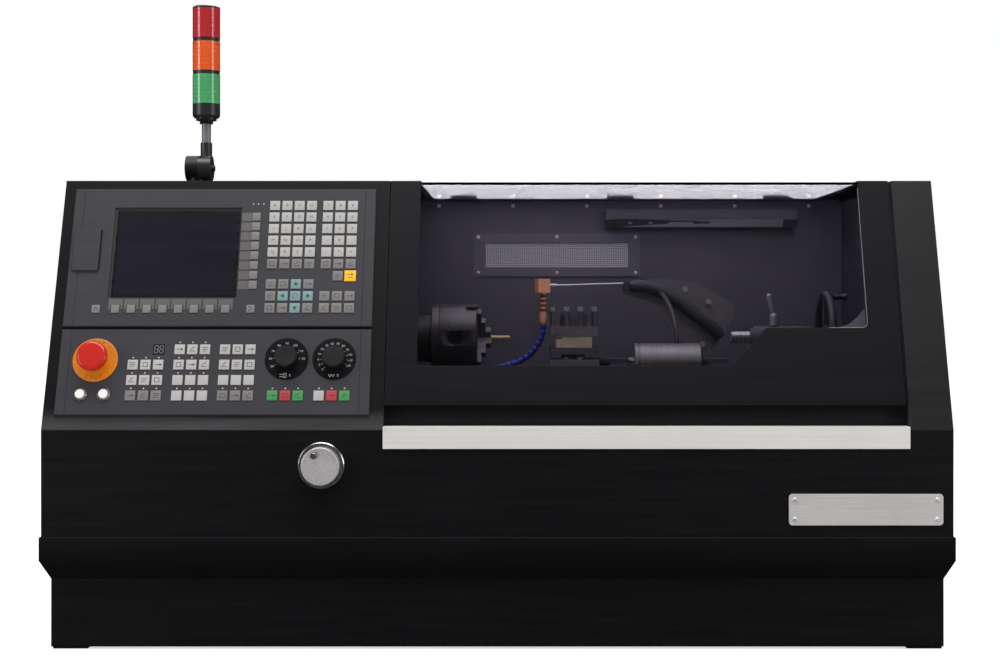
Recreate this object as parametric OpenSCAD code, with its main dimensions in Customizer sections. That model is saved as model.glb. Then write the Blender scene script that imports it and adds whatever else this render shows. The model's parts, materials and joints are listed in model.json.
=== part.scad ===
// Benchtop CNC lathe with a folded sheet-metal enclosure.
// Frame: X to the right, Y to the rear, Z up, origin on the floor at the centre of the footprint.

/* [Enclosure] */
// Width over the control housing and the right column
body_w = 1218; // [1100:1:1500]
// Depth from the front plane to the rear sheet
body_d = 480; // [440:1:620]
// Height of the roof above the floor
body_h = 636; // [560:1:780]
// Thickness of the folded sheets
sheet = 2; // [1:0.1:3]
// Lean of the slanted front from the vertical, degrees
lean = 19.5; // [12:0.5:26]
// Height of the bend where the slanted front starts
bend_z = 294; // [260:1:330]
// Width of the control housing on the left
housing_w = 456; // [450:1:560]
// Width of the fixed column on the right
column_w = 56; // [40:1:90]

/* [Base and chip tray] */
// Height of the pads under the plinth
foot_h = 3; // [2:0.5:12]
// Height of the plinth's top edge
plinth_z = 94; // [80:1:110]
// Height where the tray's lip starts
lip_z = 120; // [112:1:130]
// Height of the tray's rim
rim_z = 151; // [140:1:170]
// Reach of the tray's lip past the front panel
lip_out = 2.5; // [1:0.5:10]
// Set-back of the plinth from the panels
plinth_in = 10.5; // [5:0.5:30]

/* [Hood] */
// Width of the lift-up hood
hood_w = 700; // [500:1:760]
// Gap between the hood and the control housing
hood_gap = 1; // [0.5:0.5:4]
// Height of the hood's lower edge
hood_z = 326; // [310:1:350]
// Width of the hood's side strips
hood_strip = 42.5; // [30:0.5:70]
// Height of the window's lower edge
sight_z = 379; // [365:1:400]
// Height of the window's raised lower edge on the right
sight_step_z = 430; // [410:1:460]
// Thickness of the bent window sheet
window_t = 4; // [2:0.5:6]
// Width of each hinge
hinge_w = 42; // [25:1:60]
// Distance from hinge to hinge
hinge_pitch = 255; // [200:1:290]

/* [Operator panels] */
// Width of both panels
panel_w = 422; // [400:1:425]
// Height of the operator panel along the slope
screen_panel_h = 204; // [200:1:208]
// Height of the machine panel along the slope
machine_panel_h = 121; // [118:1:124]
// Distance up the slope to the machine panel's lower edge
machine_panel_t = 20; // [14:1:24]
// Gap between the two panels
panel_gap = 4; // [2:0.5:8]
// Stand-off of the panel faces from the slanted sheet
panel_proud = 3; // [2:0.5:6]
// Distance from key to key in a row
key_pitch = 17.2; // [16:0.1:17.5]
// Side of a key cap
key_side = 14; // [11:0.1:15]
// Height of a key cap above the panel
key_rise = 1.2; // [0.6:0.1:2.5]
// Diameter of the emergency stop's yellow ring
stop_ring_d = 61; // [50:1:66]
// Diameter of the emergency stop's head
stop_head_d = 41; // [36:1:44]
// Travel of the emergency stop's head
stop_travel = 5; // [3:0.5:8]
// Diameter of the dial skirts
dial_skirt_d = 59; // [50:1:62]
// Diameter of the dial knobs
dial_d = 31; // [26:1:36]

/* [Handwheel] */
// Diameter of the handwheel's fixed ring
pulse_ring_d = 62; // [56:1:76]
// Diameter of the turning disc
pulse_wheel_d = 51; // [44:1:56]
// Reach of the handwheel in front of the panel
pulse_reach = 34; // [28:1:45]

/* [Tower light] */
// Diameter of the lamp stack
lamp_d = 40; // [30:1:50]
// Height of one coloured lens
lens_h = 43; // [36:1:50]
// Diameter of the pole
pole_d = 13.5; // [10:0.5:18]
// Diameter of the folding joint
fold_d = 37; // [30:1:44]

/* [Lathe] */
// Height of the spindle axis above the floor
axis_z = 411.5; // [400:0.5:430]
// Distance of the spindle axis behind the front plane
axis_d = 290; // [270:1:310]
// Diameter of the chuck
chuck_d = 100; // [80:1:110]
// Length of the chuck body
chuck_l = 62; // [50:1:66]
// Diameter of the spindle
spindle_d = 48; // [40:1:56]
// Diameter of the workpiece bar
bar_d = 8; // [6:0.5:14]
// Swing radius over the bed
swing_r = 105; // [95:1:112]
// Width of the bed over the ways
bed_w = 150; // [130:1:160]
// Side of the square tool turret
turret_side = 73; // [60:1:76]
// Diameter of the tailstock quill
quill_d = 19; // [16:0.5:26]
// Diameter of the tailstock handwheel
tail_wheel_d = 140; // [120:1:150]

/* [Hidden] */
$fn = 48;
hinge_back = 8;                                   // the hinge barrels stand out behind by this
front_y = pulse_reach - (body_d + hinge_back + pulse_reach) / 2;
back_y = front_y + body_d;
left_x = -body_w / 2;
right_x = body_w / 2;
bay_left = left_x + housing_w;                    // inner face of the control housing
bay_right = right_x - column_w;                   // inner face of the right column
slope_l = (body_h - bend_z) / cos(lean);          // length of the slanted front
roof_y = front_y + (body_h - bend_z) * tan(lean); // where the roof starts
axis_y = front_y + axis_d;
black = [0.09, 0.09, 0.10];
dark = [0.20, 0.20, 0.21];
steel = [0.72, 0.72, 0.74];

// hood
hood_x0 = bay_left + hood_gap;
hood_x1 = hood_x0 + hood_w;
win_x0 = hood_x0 + hood_strip;
win_x1 = hood_x1 - hood_strip;
step_x0 = win_x1 - 189;
step_x1 = step_x0 + 49;
skin_gap = 0.3;                                   // running gap between sheets that slide past
barrel_r = 4;
hinge_y = back_y + barrel_r;
hinge_z = body_h + barrel_r;
hinge_x = [for (i = [-1:1]) (hood_x0 + hood_x1) / 2 - 6 + i * hinge_pitch];

// panels
panel_x0 = left_x + (housing_w - panel_w) / 2 - 1.5;
screen_panel_t = machine_panel_t + machine_panel_h + panel_gap;
screen_panel_top = screen_panel_t + screen_panel_h;
face = panel_proud;                               // height of both panel faces over the sheet
screen_w = 171;
screen_h = 128;
screen_x0 = panel_x0 + 62;
screen_t0 = screen_panel_t + 43.5;
key_x = panel_x0 + 281;                           // centre of the first letter column
number_x = key_x + 74.4;                          // centre of the first number column
key_row = 17.45;
key_top = screen_panel_top - 25.5;                // centre of the first letter row
cursor_top = key_top - 6 * key_row - 12.3;        // centre of the first cursor row
mode_x = panel_x0 + 100.5;                        // first machine key column
mode_gap = 62;                                    // from key block to key block
mode_row = 21.7;
mode_low = machine_panel_t + 27;                  // centre of the lowest machine key row
stop_x = panel_x0 + 49.5;
stop_t = machine_panel_t + 76.8;
button_x = [stop_x - 16, stop_x + 15.3];
button_t = machine_panel_t + 28.6;
dial_x = [panel_x0 + 308, panel_x0 + 372.5];
dial_t = machine_panel_t + 78.6;
flap_x0 = panel_x0 + 5.5;
flap_w = 36;
flap_t0 = screen_panel_t + 81;
flap_h = 62;

button_stroke = 2.5;

// handwheel
pulse_x = bay_left - 82;
pulse_z = bend_z - 47;
crank_r = pulse_wheel_d / 2 - 8.8;

// tower light
tower_x = left_x + 176;
tower_y = front_y + 228;
fold_x = tower_x - 10.5;
fold_z = body_h + fold_d / 2 + 8;
stack_z = body_h + 95;

// lathe bed and carriage
bed_top = axis_z - swing_r;
tray_z = lip_z + sheet;
rear_wall_y = back_y - sheet;
way_y = [axis_y - 48, axis_y + 44];
turret_x = bay_left + 263.5;
turret_y = axis_y + 10;
slide_top = axis_z - 32.5;
chuck_x0 = bay_left + 50;
chuck_x1 = chuck_x0 + chuck_l + 7;
jaw_slot = 8;
motor_x0 = turret_x + 90;
motor_l = 101;
motor_r = 31;
motor_z = axis_z - 39;
arm_y = axis_y + 52;
tail_x0 = bay_left + 535;
quill_x0 = tail_x0 - 34;
tail_wheel_x = tail_x0 + 104;
lever_x = tail_x0 + 31.5;

// ---- frames and shapes shared by several pieces ----

// Extrudes a side profile, drawn as (Y, Z), from x0 to x1.
module along_x(x0, x1) {
    translate([x0, 0, 0]) rotate([90, 0, 90]) linear_extrude(x1 - x0) children();
}

// Places its children on the slanted front: X across, Y up the slope, Z out of the sheet.
module on_slope(t = 0, h = 0) {
    translate([0, front_y, bend_z]) rotate([90 - lean, 0, 0]) translate([0, t, h]) children();
}

// A round rod along X.
module rod_x(x0, x1, d, y, z) {
    translate([x0, y, z]) rotate([0, 90, 0]) cylinder(h = x1 - x0, d = d);
}

// A round rod along Y.
module rod_y(y0, y1, d, x, z) {
    translate([x, y0, z]) rotate([-90, 0, 0]) cylinder(h = y1 - y0, d = d);
}

// A box from its low corner to its high corner.
module block(low, high) {
    translate(low) cube(high - low);
}

// A flat plate with four rounded corners, drawn in the X-Y plane.
module round_plate(w, l, h, r) {
    linear_extrude(h) round_rect(w, l, r);
}

module round_rect(w, l, r) {
    union() {
        translate([r, 0]) square([w - 2 * r, l]);
        translate([0, r]) square([w, l - 2 * r]);
        for (x = [r, w - r], y = [r, l - r]) translate([x, y]) circle(r);
    }
}

// Closed tube through rings of [x, y, z, radius]; its centre line runs mostly along X and Z.
module tube(rings, sides = 12) {
    n = len(rings);
    function way(i) = let (
        a = rings[max(i - 1, 0)], b = rings[min(i + 1, n - 1)], d = [b[0] - a[0], b[2] - a[2]]
    ) d / norm(d);
    polyhedron(
        points = [
            for (i = [0:n - 1], k = [0:sides - 1])
                let (c = rings[i], d = way(i), u = c[3] * cos(360 * k / sides))
                [c[0] - d[1] * u, c[1] + c[3] * sin(360 * k / sides), c[2] + d[0] * u]
        ],
        faces = concat(
            [[for (k = [sides - 1:-1:0]) k]],
            [for (i = [0:n - 2], k = [0:sides - 1])
                let (a = i * sides + k, b = i * sides + (k + 1) % sides) [a, b, b + sides]],
            [for (i = [0:n - 2], k = [0:sides - 1])
                let (a = i * sides + k, b = i * sides + (k + 1) % sides) [a, b + sides, a + sides]],
            [[for (k = [0:sides - 1]) (n - 1) * sides + k]]
        )
    );
}

// Side outline of the enclosure above the tray, shrunk inwards by "in".
module side_outline(in = 0, low = rim_z) {
    lean_in = in / cos(lean);
    polygon([
        [front_y + in, low],
        [front_y + in, bend_z + in * tan(lean / 2)],
        [roof_y + lean_in - in * tan(lean), body_h - in],
        [back_y - in, body_h - in],
        [back_y - in, low]
    ]);
}

// ---- base ----

module base_plinth() color(black) {
    x0 = left_x + plinth_in;
    x1 = right_x - plinth_in;
    y0 = front_y + plinth_in;
    y1 = back_y - plinth_in / 2;
    difference() {
        block([x0, y0, foot_h], [x1, y1, plinth_z]);
        block([x0 + sheet, y0 + sheet, foot_h + sheet], [x1 - sheet, y1 - sheet, plinth_z + 1]);
        block([x0 + 30, y0 + 30, foot_h - 1], [x1 - 30, y1 - 30, foot_h + sheet + 1]);
    }
    for (x = [x0 + 2, x1 - 49], y = [y0 + 2, y1 - 49])
        block([x, y, 0], [x + 47, y + 47, foot_h]);
}

module tray_solid(in) {
    hull() {
        block([left_x - lip_out + in, front_y - lip_out + in, lip_z],
              [right_x + lip_out - in, back_y - in, rim_z + (in > 0 ? 1 : 0)]);
        block([left_x + plinth_in + in, front_y + plinth_in + in, plinth_z],
              [right_x - plinth_in - in, back_y - plinth_in / 2 - in, plinth_z + 1]);
    }
}

module chip_tray() color(black) {
    rim = 22;
    union() {
        difference() {
            tray_solid(0);
            tray_solid(sheet);
        }
        difference() {
            block([left_x - lip_out / 2, front_y - lip_out / 2, rim_z - sheet],
                  [right_x + lip_out / 2, back_y - sheet / 2, rim_z]);
            block([left_x + rim, front_y + rim, rim_z - 9], [right_x - rim, back_y - rim, rim_z + 9]);
        }
        block([left_x - lip_out / 2, front_y - lip_out / 2, lip_z],
              [right_x + lip_out / 2, back_y - sheet / 2, tray_z]);
    }
}

// ---- fixed enclosure ----

// Full-width lower panel, folded back at both ends and behind the sill.
module front_panel() color(black) {
    difference() {
        union() {
            block([left_x, front_y, rim_z], [right_x, front_y + sheet, bend_z]);
            block([bay_left, front_y, bend_z - sheet], [bay_right, front_y + 26, bend_z]);
            block([bay_left, front_y + 24, bend_z - sheet], [bay_right, front_y + 26, hood_z + 4]);
            block([bay_left, front_y, rim_z], [bay_right, front_y + 26, rim_z + sheet]);
        }
        rod_y(front_y - 1, front_y + sheet + 1, pulse_ring_d - 14, pulse_x, pulse_z);
    }
}

module housing_shell(x0, x1) {
    difference() {
        along_x(x0, x1) side_outline();
        along_x(x0 + sheet, x1 - sheet) side_outline(sheet, rim_z - 1);
        block([x0 - 1, front_y - 1, rim_z - 1], [x1 + 1, front_y + sheet, bend_z]);
    }
}

module control_housing() color(black) {
    difference() {
        housing_shell(left_x, bay_left);
        on_slope(screen_panel_t + 12, -8)
            translate([panel_x0 + 12, 0, 0]) cube([panel_w - 24, screen_panel_h - 24, 16]);
        on_slope(machine_panel_t + 12, -8)
            translate([panel_x0 + 12, 0, 0]) cube([panel_w - 24, machine_panel_h - 24, 16]);
        rod_x(bay_left - 5, bay_left + 5, spindle_d + 26, axis_y, axis_z);
        translate([tower_x - 6, tower_y, body_h - 5]) cylinder(h = 10, d = 12);
    }
}

module right_column() color(black) {
    housing_shell(bay_right, right_x);
}

// Rear sheet of the work bay, with the vent opening and the folded strip the hood lands on.
vent_x0 = bay_left + 107;
vent_w = 270;
vent_z0 = axis_z + 95.5;
vent_h = 70;
vent_rim = 19;
module rear_wall() color(black) {
    x0 = bay_left;
    x1 = bay_right;
    z1 = body_h - sheet - 2;
    difference() {
        union() {
            block([x0, rear_wall_y, rim_z], [x1, back_y, z1]);
            block([x0, rear_wall_y - 14, z1 - sheet], [x1, back_y, z1]);
        }
        block([vent_x0 + vent_rim, rear_wall_y - 1, vent_z0 + vent_rim - 4],
              [vent_x0 + vent_w - vent_rim, back_y + 1, vent_z0 + vent_h - vent_rim + 4]);
        for (x = rear_screw_x) rod_y(rear_wall_y - 1, back_y + 1, 3.1, x, rear_screw_z);
    }
}

module sill_strip() color(steel) {
    difference() {
        block([bay_left + 0.2, front_y - 1.5, bend_z - 25], [bay_right - 2, front_y + 20, bend_z + 4.5]);
        block([bay_left - 1, front_y, bend_z - 26], [bay_right, front_y + 21, bend_z + 3]);
    }
}

plate_w = 206;
plate_h = 42;
plate_x0 = right_x - plate_w - 14;
plate_z0 = rim_z + 16;
plate_screw = [for (x = [8, plate_w - 8], z = [8, plate_h - 8]) [plate_x0 + x, plate_z0 + z]];
module name_plate() color(steel) {
    difference() {
        translate([plate_x0, front_y, plate_z0]) rotate([90, 0, 0])
            round_plate(plate_w, plate_h, 1.2, 5);
        for (p = plate_screw) rod_y(front_y - 3, front_y + 3, 4.4, p[0], p[1]);
    }
}

// A domed screw lying along Y with its head towards the front; (x, z) is its axis.
module dome_screw(x, z, y, d, shank) {
    translate([x, y, z]) rotate([90, 0, 0]) {
        difference() {
            intersection() {
                cylinder(h = d * 0.3, d = d);
                translate([0, 0, d * 0.3 - d * 0.62]) sphere(d * 0.62);
            }
            translate([0, 0, d * 0.2]) cylinder(h = d, d = d * 0.4, $fn = 6);
        }
        translate([0, 0, -shank]) cylinder(h = shank, d = d * 0.5);
    }
}

vent_screw_x = [vent_x0 + 7, vent_x0 + vent_w / 2, vent_x0 + vent_w - 7];
vent_screw_z = [vent_z0 + 6, vent_z0 + vent_h - 6];
rear_screw_x = [for (i = [0:5]) bay_left + 50 + i * (bay_right - bay_left - 104) / 5];
rear_screw_z = body_h - 14;
module cover_screws() color(steel) {
    for (p = plate_screw) dome_screw(p[0], p[1], front_y - 1.2, 6.5, 1.2);
    for (x = vent_screw_x, z = vent_screw_z) dome_screw(x, z, rear_wall_y - 2, 6, 2);
    for (x = rear_screw_x) dome_screw(x, rear_screw_z, rear_wall_y, 6, 1.5);
}

module vent_frame() color(dark) {
    difference() {
        block([vent_x0, rear_wall_y - 2, vent_z0], [vent_x0 + vent_w, rear_wall_y, vent_z0 + vent_h]);
        block([vent_x0 + vent_rim, rear_wall_y - 3, vent_z0 + vent_rim - 4],
              [vent_x0 + vent_w - vent_rim, rear_wall_y + 1, vent_z0 + vent_h - vent_rim + 4]);
        for (x = vent_screw_x, z = vent_screw_z) rod_y(rear_wall_y - 3, rear_wall_y + 1, 3.4, x, z);
    }
}

// Perforated plate that fills the vent opening.
module vent_mesh() color(dark) {
    pitch = 5;
    hole = 3.8;
    w = vent_w - 2 * vent_rim;
    h = vent_h - 2 * vent_rim + 8;
    nx = floor((w - 4) / pitch);
    nz = floor((h - 2) / pitch);
    translate([vent_x0 + vent_rim, rear_wall_y + 0.5, vent_z0 + vent_rim - 4])
        rotate([90, 0, 0]) translate([0, 0, -1]) linear_extrude(1) difference() {
            square([w, h]);
            for (i = [0:nx - 1], j = [0:nz - 1])
                translate([(w - nx * pitch) / 2 + (i + 0.5) * pitch - hole / 2,
                           (h - nz * pitch) / 2 + (j + 0.5) * pitch - hole / 2])
                    square(hole);
        }
}

lamp_x0 = bay_left + 320;
lamp_w = 309;
module lamp_batten() color(dark) {
    z0 = body_h - 50;
    z1 = body_h - 22;
    difference() {
        along_x(lamp_x0, lamp_x0 + lamp_w) polygon([
            [rear_wall_y, z0], [rear_wall_y - 16, z0], [rear_wall_y - 30, z0 + 12],
            [rear_wall_y - 30, z1], [rear_wall_y, z1]
        ]);
        along_x(lamp_x0 + 22, lamp_x0 + lamp_w - 22) polygon([
            [rear_wall_y - 16 - 1, z0 - 1], [rear_wall_y - 31, z0 + 11],
            [rear_wall_y - 29.5, z0 + 13.4], [rear_wall_y - 14.5, z0 + 1]
        ]);
    }
    for (i = [0:7])
        translate([lamp_x0 + 40 + i * (lamp_w - 80) / 7, rear_wall_y - 21.6, z0 + 8])
            rotate([-49, 0, 0]) translate([-3, -2.5, -1.2]) cube([6, 5, 2.2]);
}

// ---- hood ----

// The slanted front and the flat top of the hood as one folded sheet, "t" thick, sunk by "in".
module hood_profile(in, t, low, rear) {
    k = tan(lean);
    function out(d, z) = [front_y + (z - bend_z) * k + d / cos(lean), z];
    polygon([
        out(in, low),
        [roof_y + in / cos(lean) - in * k, body_h - in],
        [rear, body_h - in],
        [rear, body_h - in - t],
        [roof_y + (in + t) / cos(lean) - (in + t) * k, body_h - in - t],
        out(in + t, low)
    ]);
}

// Outline of the window on the slope, "grow" wider all round, up to "top" past the bend.
module window_outline(grow, top) {
    w = win_x1 - win_x0;
    low = (sight_z - bend_z) / cos(lean);
    step = (sight_step_z - bend_z) / cos(lean);
    corner = 8;
    translate([win_x0, 0]) polygon([
        [-grow, low - grow], [step_x0 - win_x0 + grow / 2, low - grow],
        [step_x1 - win_x0 + grow / 2, step - grow], [w + grow - corner, step - grow],
        [w + grow - corner * 0.5, step - grow + corner * 0.13],
        [w + grow - corner * 0.13, step - grow + corner * 0.5], [w + grow, step - grow + corner],
        [w + grow, slope_l + top], [-grow, slope_l + top]
    ]);
}

module hood_frame() color(black) {
    flange = 10;
    difference() {
        along_x(hood_x0, hood_x1) hood_profile(0, flange, hood_z, back_y - 1);
        // the side flanges stop short of the rear sheet
        block([hood_x0 - 1, rear_wall_y - 16, body_h - flange - 1], [hood_x1 + 1, back_y, body_h - sheet]);
        along_x(hood_x0 + sheet, hood_x1 - sheet)
            hood_profile(sheet, flange, hood_z + sheet, back_y + 1);
        intersection() {
            along_x(win_x0, win_x1) hood_profile(-1, sheet + 2, bend_z + 1, back_y - 24);
            on_slope(0, -body_d) linear_extrude(body_d + 2) window_outline(0, body_d);
        }
    }
}

// Clear sheet bent over the front edge, fixed under the hood's frame.
module hood_window() color([0.55, 0.60, 0.62, 0.35]) {
    lap = 8;
    intersection() {
        along_x(win_x0 - lap, win_x1 + lap)
            hood_profile(sheet, window_t, sight_z - lap, back_y - 16);
        union() {
            on_slope(0, -60) linear_extrude(70) window_outline(lap, 60);
            block([win_x0 - lap, roof_y - 20, body_h - 40], [win_x1 + lap, back_y, body_h]);
        }
    }
}

// One leaf of each hinge: "lower" hangs on the rear sheet, the other lies on the hood.
module hinge_leaf(x, lower) {
    third = hinge_w / 3;
    span = lower ? [[-third / 2 + 0.2, third / 2 - 0.2]]
                 : [[-hinge_w / 2, -third / 2 - 0.2], [third / 2 + 0.2, hinge_w / 2]];
    for (s = span) difference() {
        union() {
            rod_x(x + s[0], x + s[1], 2 * barrel_r, hinge_y, hinge_z);
            if (lower)
                block([x + s[0], hinge_y - barrel_r, hinge_z - barrel_r - 4],
                      [x + s[1], hinge_y - barrel_r + 1.6, hinge_z]);
            else
                block([x + s[0], hinge_y - barrel_r - 4, hinge_z - barrel_r],
                      [x + s[1], hinge_y, hinge_z - barrel_r + 1.6]);
        }
        rod_x(x + s[0] - 1, x + s[1] + 1, 4, hinge_y, hinge_z);
    }
    if (lower)
        block([x - hinge_w / 2, back_y, hinge_z - 34], [x + hinge_w / 2, back_y + 1.6, hinge_z - 7]);
    else
        block([x - hinge_w / 2, back_y - 30, body_h], [x + hinge_w / 2, back_y - 3.4, body_h + 1.6]);
}

module hinge_leaves() color(dark) {
    for (x = hinge_x) union() hinge_leaf(x, false);
}

module hinge_pins() color(dark) {
    for (x = hinge_x) {
        union() hinge_leaf(x, true);
        rod_x(x - hinge_w / 2, x + hinge_w / 2, 3.9, hinge_y, hinge_z);
    }
}

// ---- tower light ----

module tower_base() color(black) {
    translate([fold_x - 3, tower_y, body_h]) cylinder(h = 3, d = 34);
    difference() {
        union() {
            translate([fold_x - 3, tower_y, body_h + 2.9]) cylinder(h = fold_d / 2 + 5, d = 24);
            rod_x(fold_x - 18, fold_x - 0.2, fold_d, tower_y, fold_z);
        }
        rod_x(fold_x - 0.2, fold_x + 30, fold_d + 1, tower_y, fold_z);
        rod_x(fold_x - 12, fold_x + 1, 8.1, tower_y, fold_z);
    }
}

module tower_stem() color(black) {
    sleeve_d = pole_d + 3.4;
    // moving half of the folding joint, its pin and the sleeve for the pole
    difference() {
        union() {
            rod_x(fold_x + 0.2, fold_x + 19, fold_d, tower_y, fold_z);
            translate([tower_x, tower_y, fold_z]) cylinder(h = fold_d / 2 + 19, d = sleeve_d);
        }
        translate([tower_x, tower_y, fold_z + 20]) cylinder(h = 40, d = pole_d + 0.1);
    }
    rod_x(fold_x - 10, fold_x + 22, 8, tower_y, fold_z);
    rod_x(fold_x + 19.5, fold_x + 23, 9, tower_y, fold_z);
    // pole
    translate([tower_x, tower_y, fold_z + 20]) cylinder(h = stack_z - fold_z - 22, d = pole_d);
    // collar, socket, the rings between the lenses and the cap
    translate([tower_x, tower_y, 0]) rotate_extrude() {
        r = lamp_d / 2;
        translate([0, stack_z - 3]) square([pole_d / 2 + 3, 5]);
        translate([0, stack_z + 1.9]) square([r - 5, 4]);
        polygon([[0, stack_z + 5.8], [r - 2, stack_z + 5.8], [r, stack_z + 9],
                 [r, stack_z + 26], [0, stack_z + 26]]);
        for (i = [1:2]) translate([0, lens_low(i) - ring_h]) square([r - 0.5, ring_h]);
        polygon([[0, lens_low(3) - ring_h], [r, lens_low(3) - ring_h],
                 [r, lens_low(3) - 3], [r - 3, lens_low(3) - 1.5], [0, lens_low(3) - 1.5]]);
    }
}

ring_h = 5.5;
function lens_low(i) = stack_z + 26 + i * (lens_h + ring_h);

module lens(i) {
    translate([tower_x, tower_y, lens_low(i)]) difference() {
        cylinder(h = lens_h, d = lamp_d);
        for (g = [1:6]) translate([0, 0, g * lens_h / 7]) difference() {
            cylinder(h = 1.2, d = lamp_d + 1);
            translate([0, 0, -1]) cylinder(h = 4, d = lamp_d - 1.2);
        }
    }
}

module green_lens() color([0.10, 0.60, 0.30]) lens(0);
module amber_lens() color([0.95, 0.42, 0.12]) lens(1);
module red_lens() color([0.75, 0.10, 0.15]) lens(2);

// ---- operator and machine panels, drawn flat on the slope ----

// A moulded panel with a chamfered edge and a groove near both ends.
module panel_body(t0, h) {
    e = 1.2;
    translate([panel_x0, t0, 0]) difference() {
        hull() {
            linear_extrude(0.1) square([panel_w, h]);
            linear_extrude(face - e) square([panel_w, h]);
            linear_extrude(face) translate([e, e]) square([panel_w - 2 * e, h - 2 * e]);
        }
        for (x = [13.6, panel_w - 15]) translate([x, -1, face - 0.6]) cube([0.8, h + 2, 1]);
    }
}

module operator_panel() color(dark) on_slope() difference() {
    panel_body(screen_panel_t, screen_panel_h);
    // stepped recess that frames the screen
    translate([screen_x0 - 4, screen_t0 - 1.5, face - 2.4]) cube([screen_w + 6, screen_h + 5.5, 3]);
    // pocket behind the media flap
    translate([flap_x0 + 1.5, flap_t0 + 1.5, face - 2.6]) cube([flap_w, flap_h - 3, 3]);
}

module displays() color([0.05, 0.05, 0.07]) {
    on_slope() translate([screen_x0, screen_t0, face - 2.4]) cube([screen_w, screen_h, 1.2]);
    on_slope() translate([mode_x + 26.2, mode_low + 3 * mode_row - 7, face - 0.8])
        cube([15.2, 14, 1.1]);
}

// Flap over the memory-card sockets, hinged along its left edge.
module media_flap() color(dark) on_slope() {
    difference() {
        union() {
            translate([flap_x0, flap_t0, face + 0.3]) round_plate(flap_w, flap_h, 2.6, 2.5);
            translate([flap_x0 + 5, flap_t0 + 4, face - 1.6]) cube([flap_w - 9, flap_h - 8, 2]);
            // hinge barrel
            translate([flap_x0 + 0.5, flap_t0 + 3, face + 1.6]) rotate([-90, 0, 0])
                cylinder(h = flap_h - 6, r = 1.3);
        }
        translate([flap_x0 + 8, flap_t0 + 7, face - 2]) cube([flap_w - 15, flap_h - 14, 3.4]);
    }
}

// One key cap with a chamfered top, centred on (x, t).
module key_cap(x, t, w = key_side, h = key_side) {
    e = 0.5;
    translate([x - w / 2, t - h / 2, face]) {
        cube([w, h, key_rise - e]);
        translate([e, e, 0]) cube([w - 2 * e, h - 2 * e, key_rise]);
    }
}

module key_grid(x0, t0, columns, rows, pitch_t) {
    for (i = [0:columns - 1], j = [0:rows - 1]) key_cap(x0 + i * key_pitch, t0 - j * pitch_t);
}

module cream_keys() color([0.85, 0.83, 0.78]) on_slope() {
    key_grid(key_x, key_top, 4, 5, key_row);
    key_grid(number_x, key_top, 3, 5, key_row);
    key_grid(mode_x, mode_low + 2 * mode_row, 3, 2, mode_row);
    key_grid(mode_x + mode_gap, mode_low + 3 * mode_row, 3, 4, mode_row);
    key_grid(mode_x + 2 * mode_gap - 0.5, mode_low + 3 * mode_row, 3, 3, mode_row);
    key_cap(start_x[1], mode_low);
}

start_x = [mode_x + 190.5, mode_x + 253];
soft_side = 11.4;
soft_pitch = 21.5;
soft_row = 14.45;
module grey_keys() color([0.62, 0.61, 0.59]) on_slope() {
    key_grid(key_x, key_top - 5 * key_row, 4, 1, key_row);
    key_grid(number_x, key_top - 5 * key_row, 3, 1, key_row);
    key_cap(number_x + key_pitch, cursor_top + 12);
    for (x = [0, 3], j = [0:2]) key_cap(key_x + x * key_pitch, cursor_top - j * key_row, 14, 14);
    for (j = [0, 2]) key_cap(key_x + key_pitch, cursor_top - j * key_row);
    key_grid(number_x, cursor_top - key_row, 3, 2, key_row);
    key_grid(mode_x, mode_low, 3, 1, mode_row);
    key_grid(mode_x + 2 * mode_gap - 0.5, mode_low, 3, 1, mode_row);
    // softkeys: eight below the screen between the recall and forward keys, eight beside it
    for (i = [0:7])
        key_cap(screen_x0 + 8 + i * soft_pitch, screen_panel_t + 25.3, soft_side, soft_side);
    for (x = [screen_x0 - 18.5, screen_x0 + 193])
        key_cap(x, screen_panel_t + 25.3, soft_side, soft_side);
    for (j = [0:7])
        key_cap(screen_x0 + 194, screen_t0 + 16.8 + j * soft_row, soft_side, 12);
}

// Cursor cross, the yellow input key and the green and red start and stop keys.
module colour_keys() color([0.60, 0.80, 0.75]) on_slope() {
    key_cap(key_x + 2 * key_pitch, cursor_top);
    for (i = [1:2]) key_cap(key_x + i * key_pitch, cursor_top - key_row);
    key_cap(key_x + 2 * key_pitch, cursor_top - 2 * key_row);
    key_cap(number_x + 2 * key_pitch, cursor_top + 12, 16, 16);
    for (i = [0:2]) key_cap(start_x[0] + i * key_pitch, mode_low);
    for (i = [1:2]) key_cap(start_x[1] + i * key_pitch, mode_low);
}

module machine_panel() color(dark) on_slope() difference() {
    panel_body(machine_panel_t, machine_panel_h);
    translate([mode_x + 26.0, mode_low + 3 * mode_row - 7.2, face - 0.8]) cube([15.6, 14.4, 2]);
    for (x = button_x) translate([x, button_t, -1]) cylinder(h = 10, d = 12.1);
    translate([stop_x, stop_t, -1]) cylinder(h = 10, d = 22.1);
    for (x = dial_x) translate([x, dial_t, -1]) cylinder(h = 10, d = 8.1);
}

module stop_ring() color([0.95, 0.75, 0.10]) on_slope() translate([stop_x, stop_t, face])
    difference() {
        rotate_extrude() polygon([[11.05, 0], [stop_ring_d / 2, 0], [stop_ring_d / 2, 1.2],
                                  [stop_ring_d / 2 - 1, 2], [11.05, 2]]);
        for (a = [0:3]) rotate(a * 90 + 45) translate([stop_ring_d / 2 - 4, 0, 1]) cylinder(h = 2, d = 1.6);
    }

// Mushroom head with its stem, as one moulding.
module stop_head() color([0.80, 0.12, 0.08]) on_slope() translate([stop_x, stop_t, face])
    rotate_extrude() {
        r = stop_head_d / 2;
        low = 3 + stop_travel;
        polygon(concat(
            [[0, -14], [11, -14], [11, low + 3], [r - 2.5, low + 5], [r, low + 8], [r, low + 12]],
            [for (a = [0:15:90]) [r - 5 + 5 * cos(a), low + 12 + 5 * sin(a)]],
            [[0, low + 18]]
        ));
    }

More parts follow.
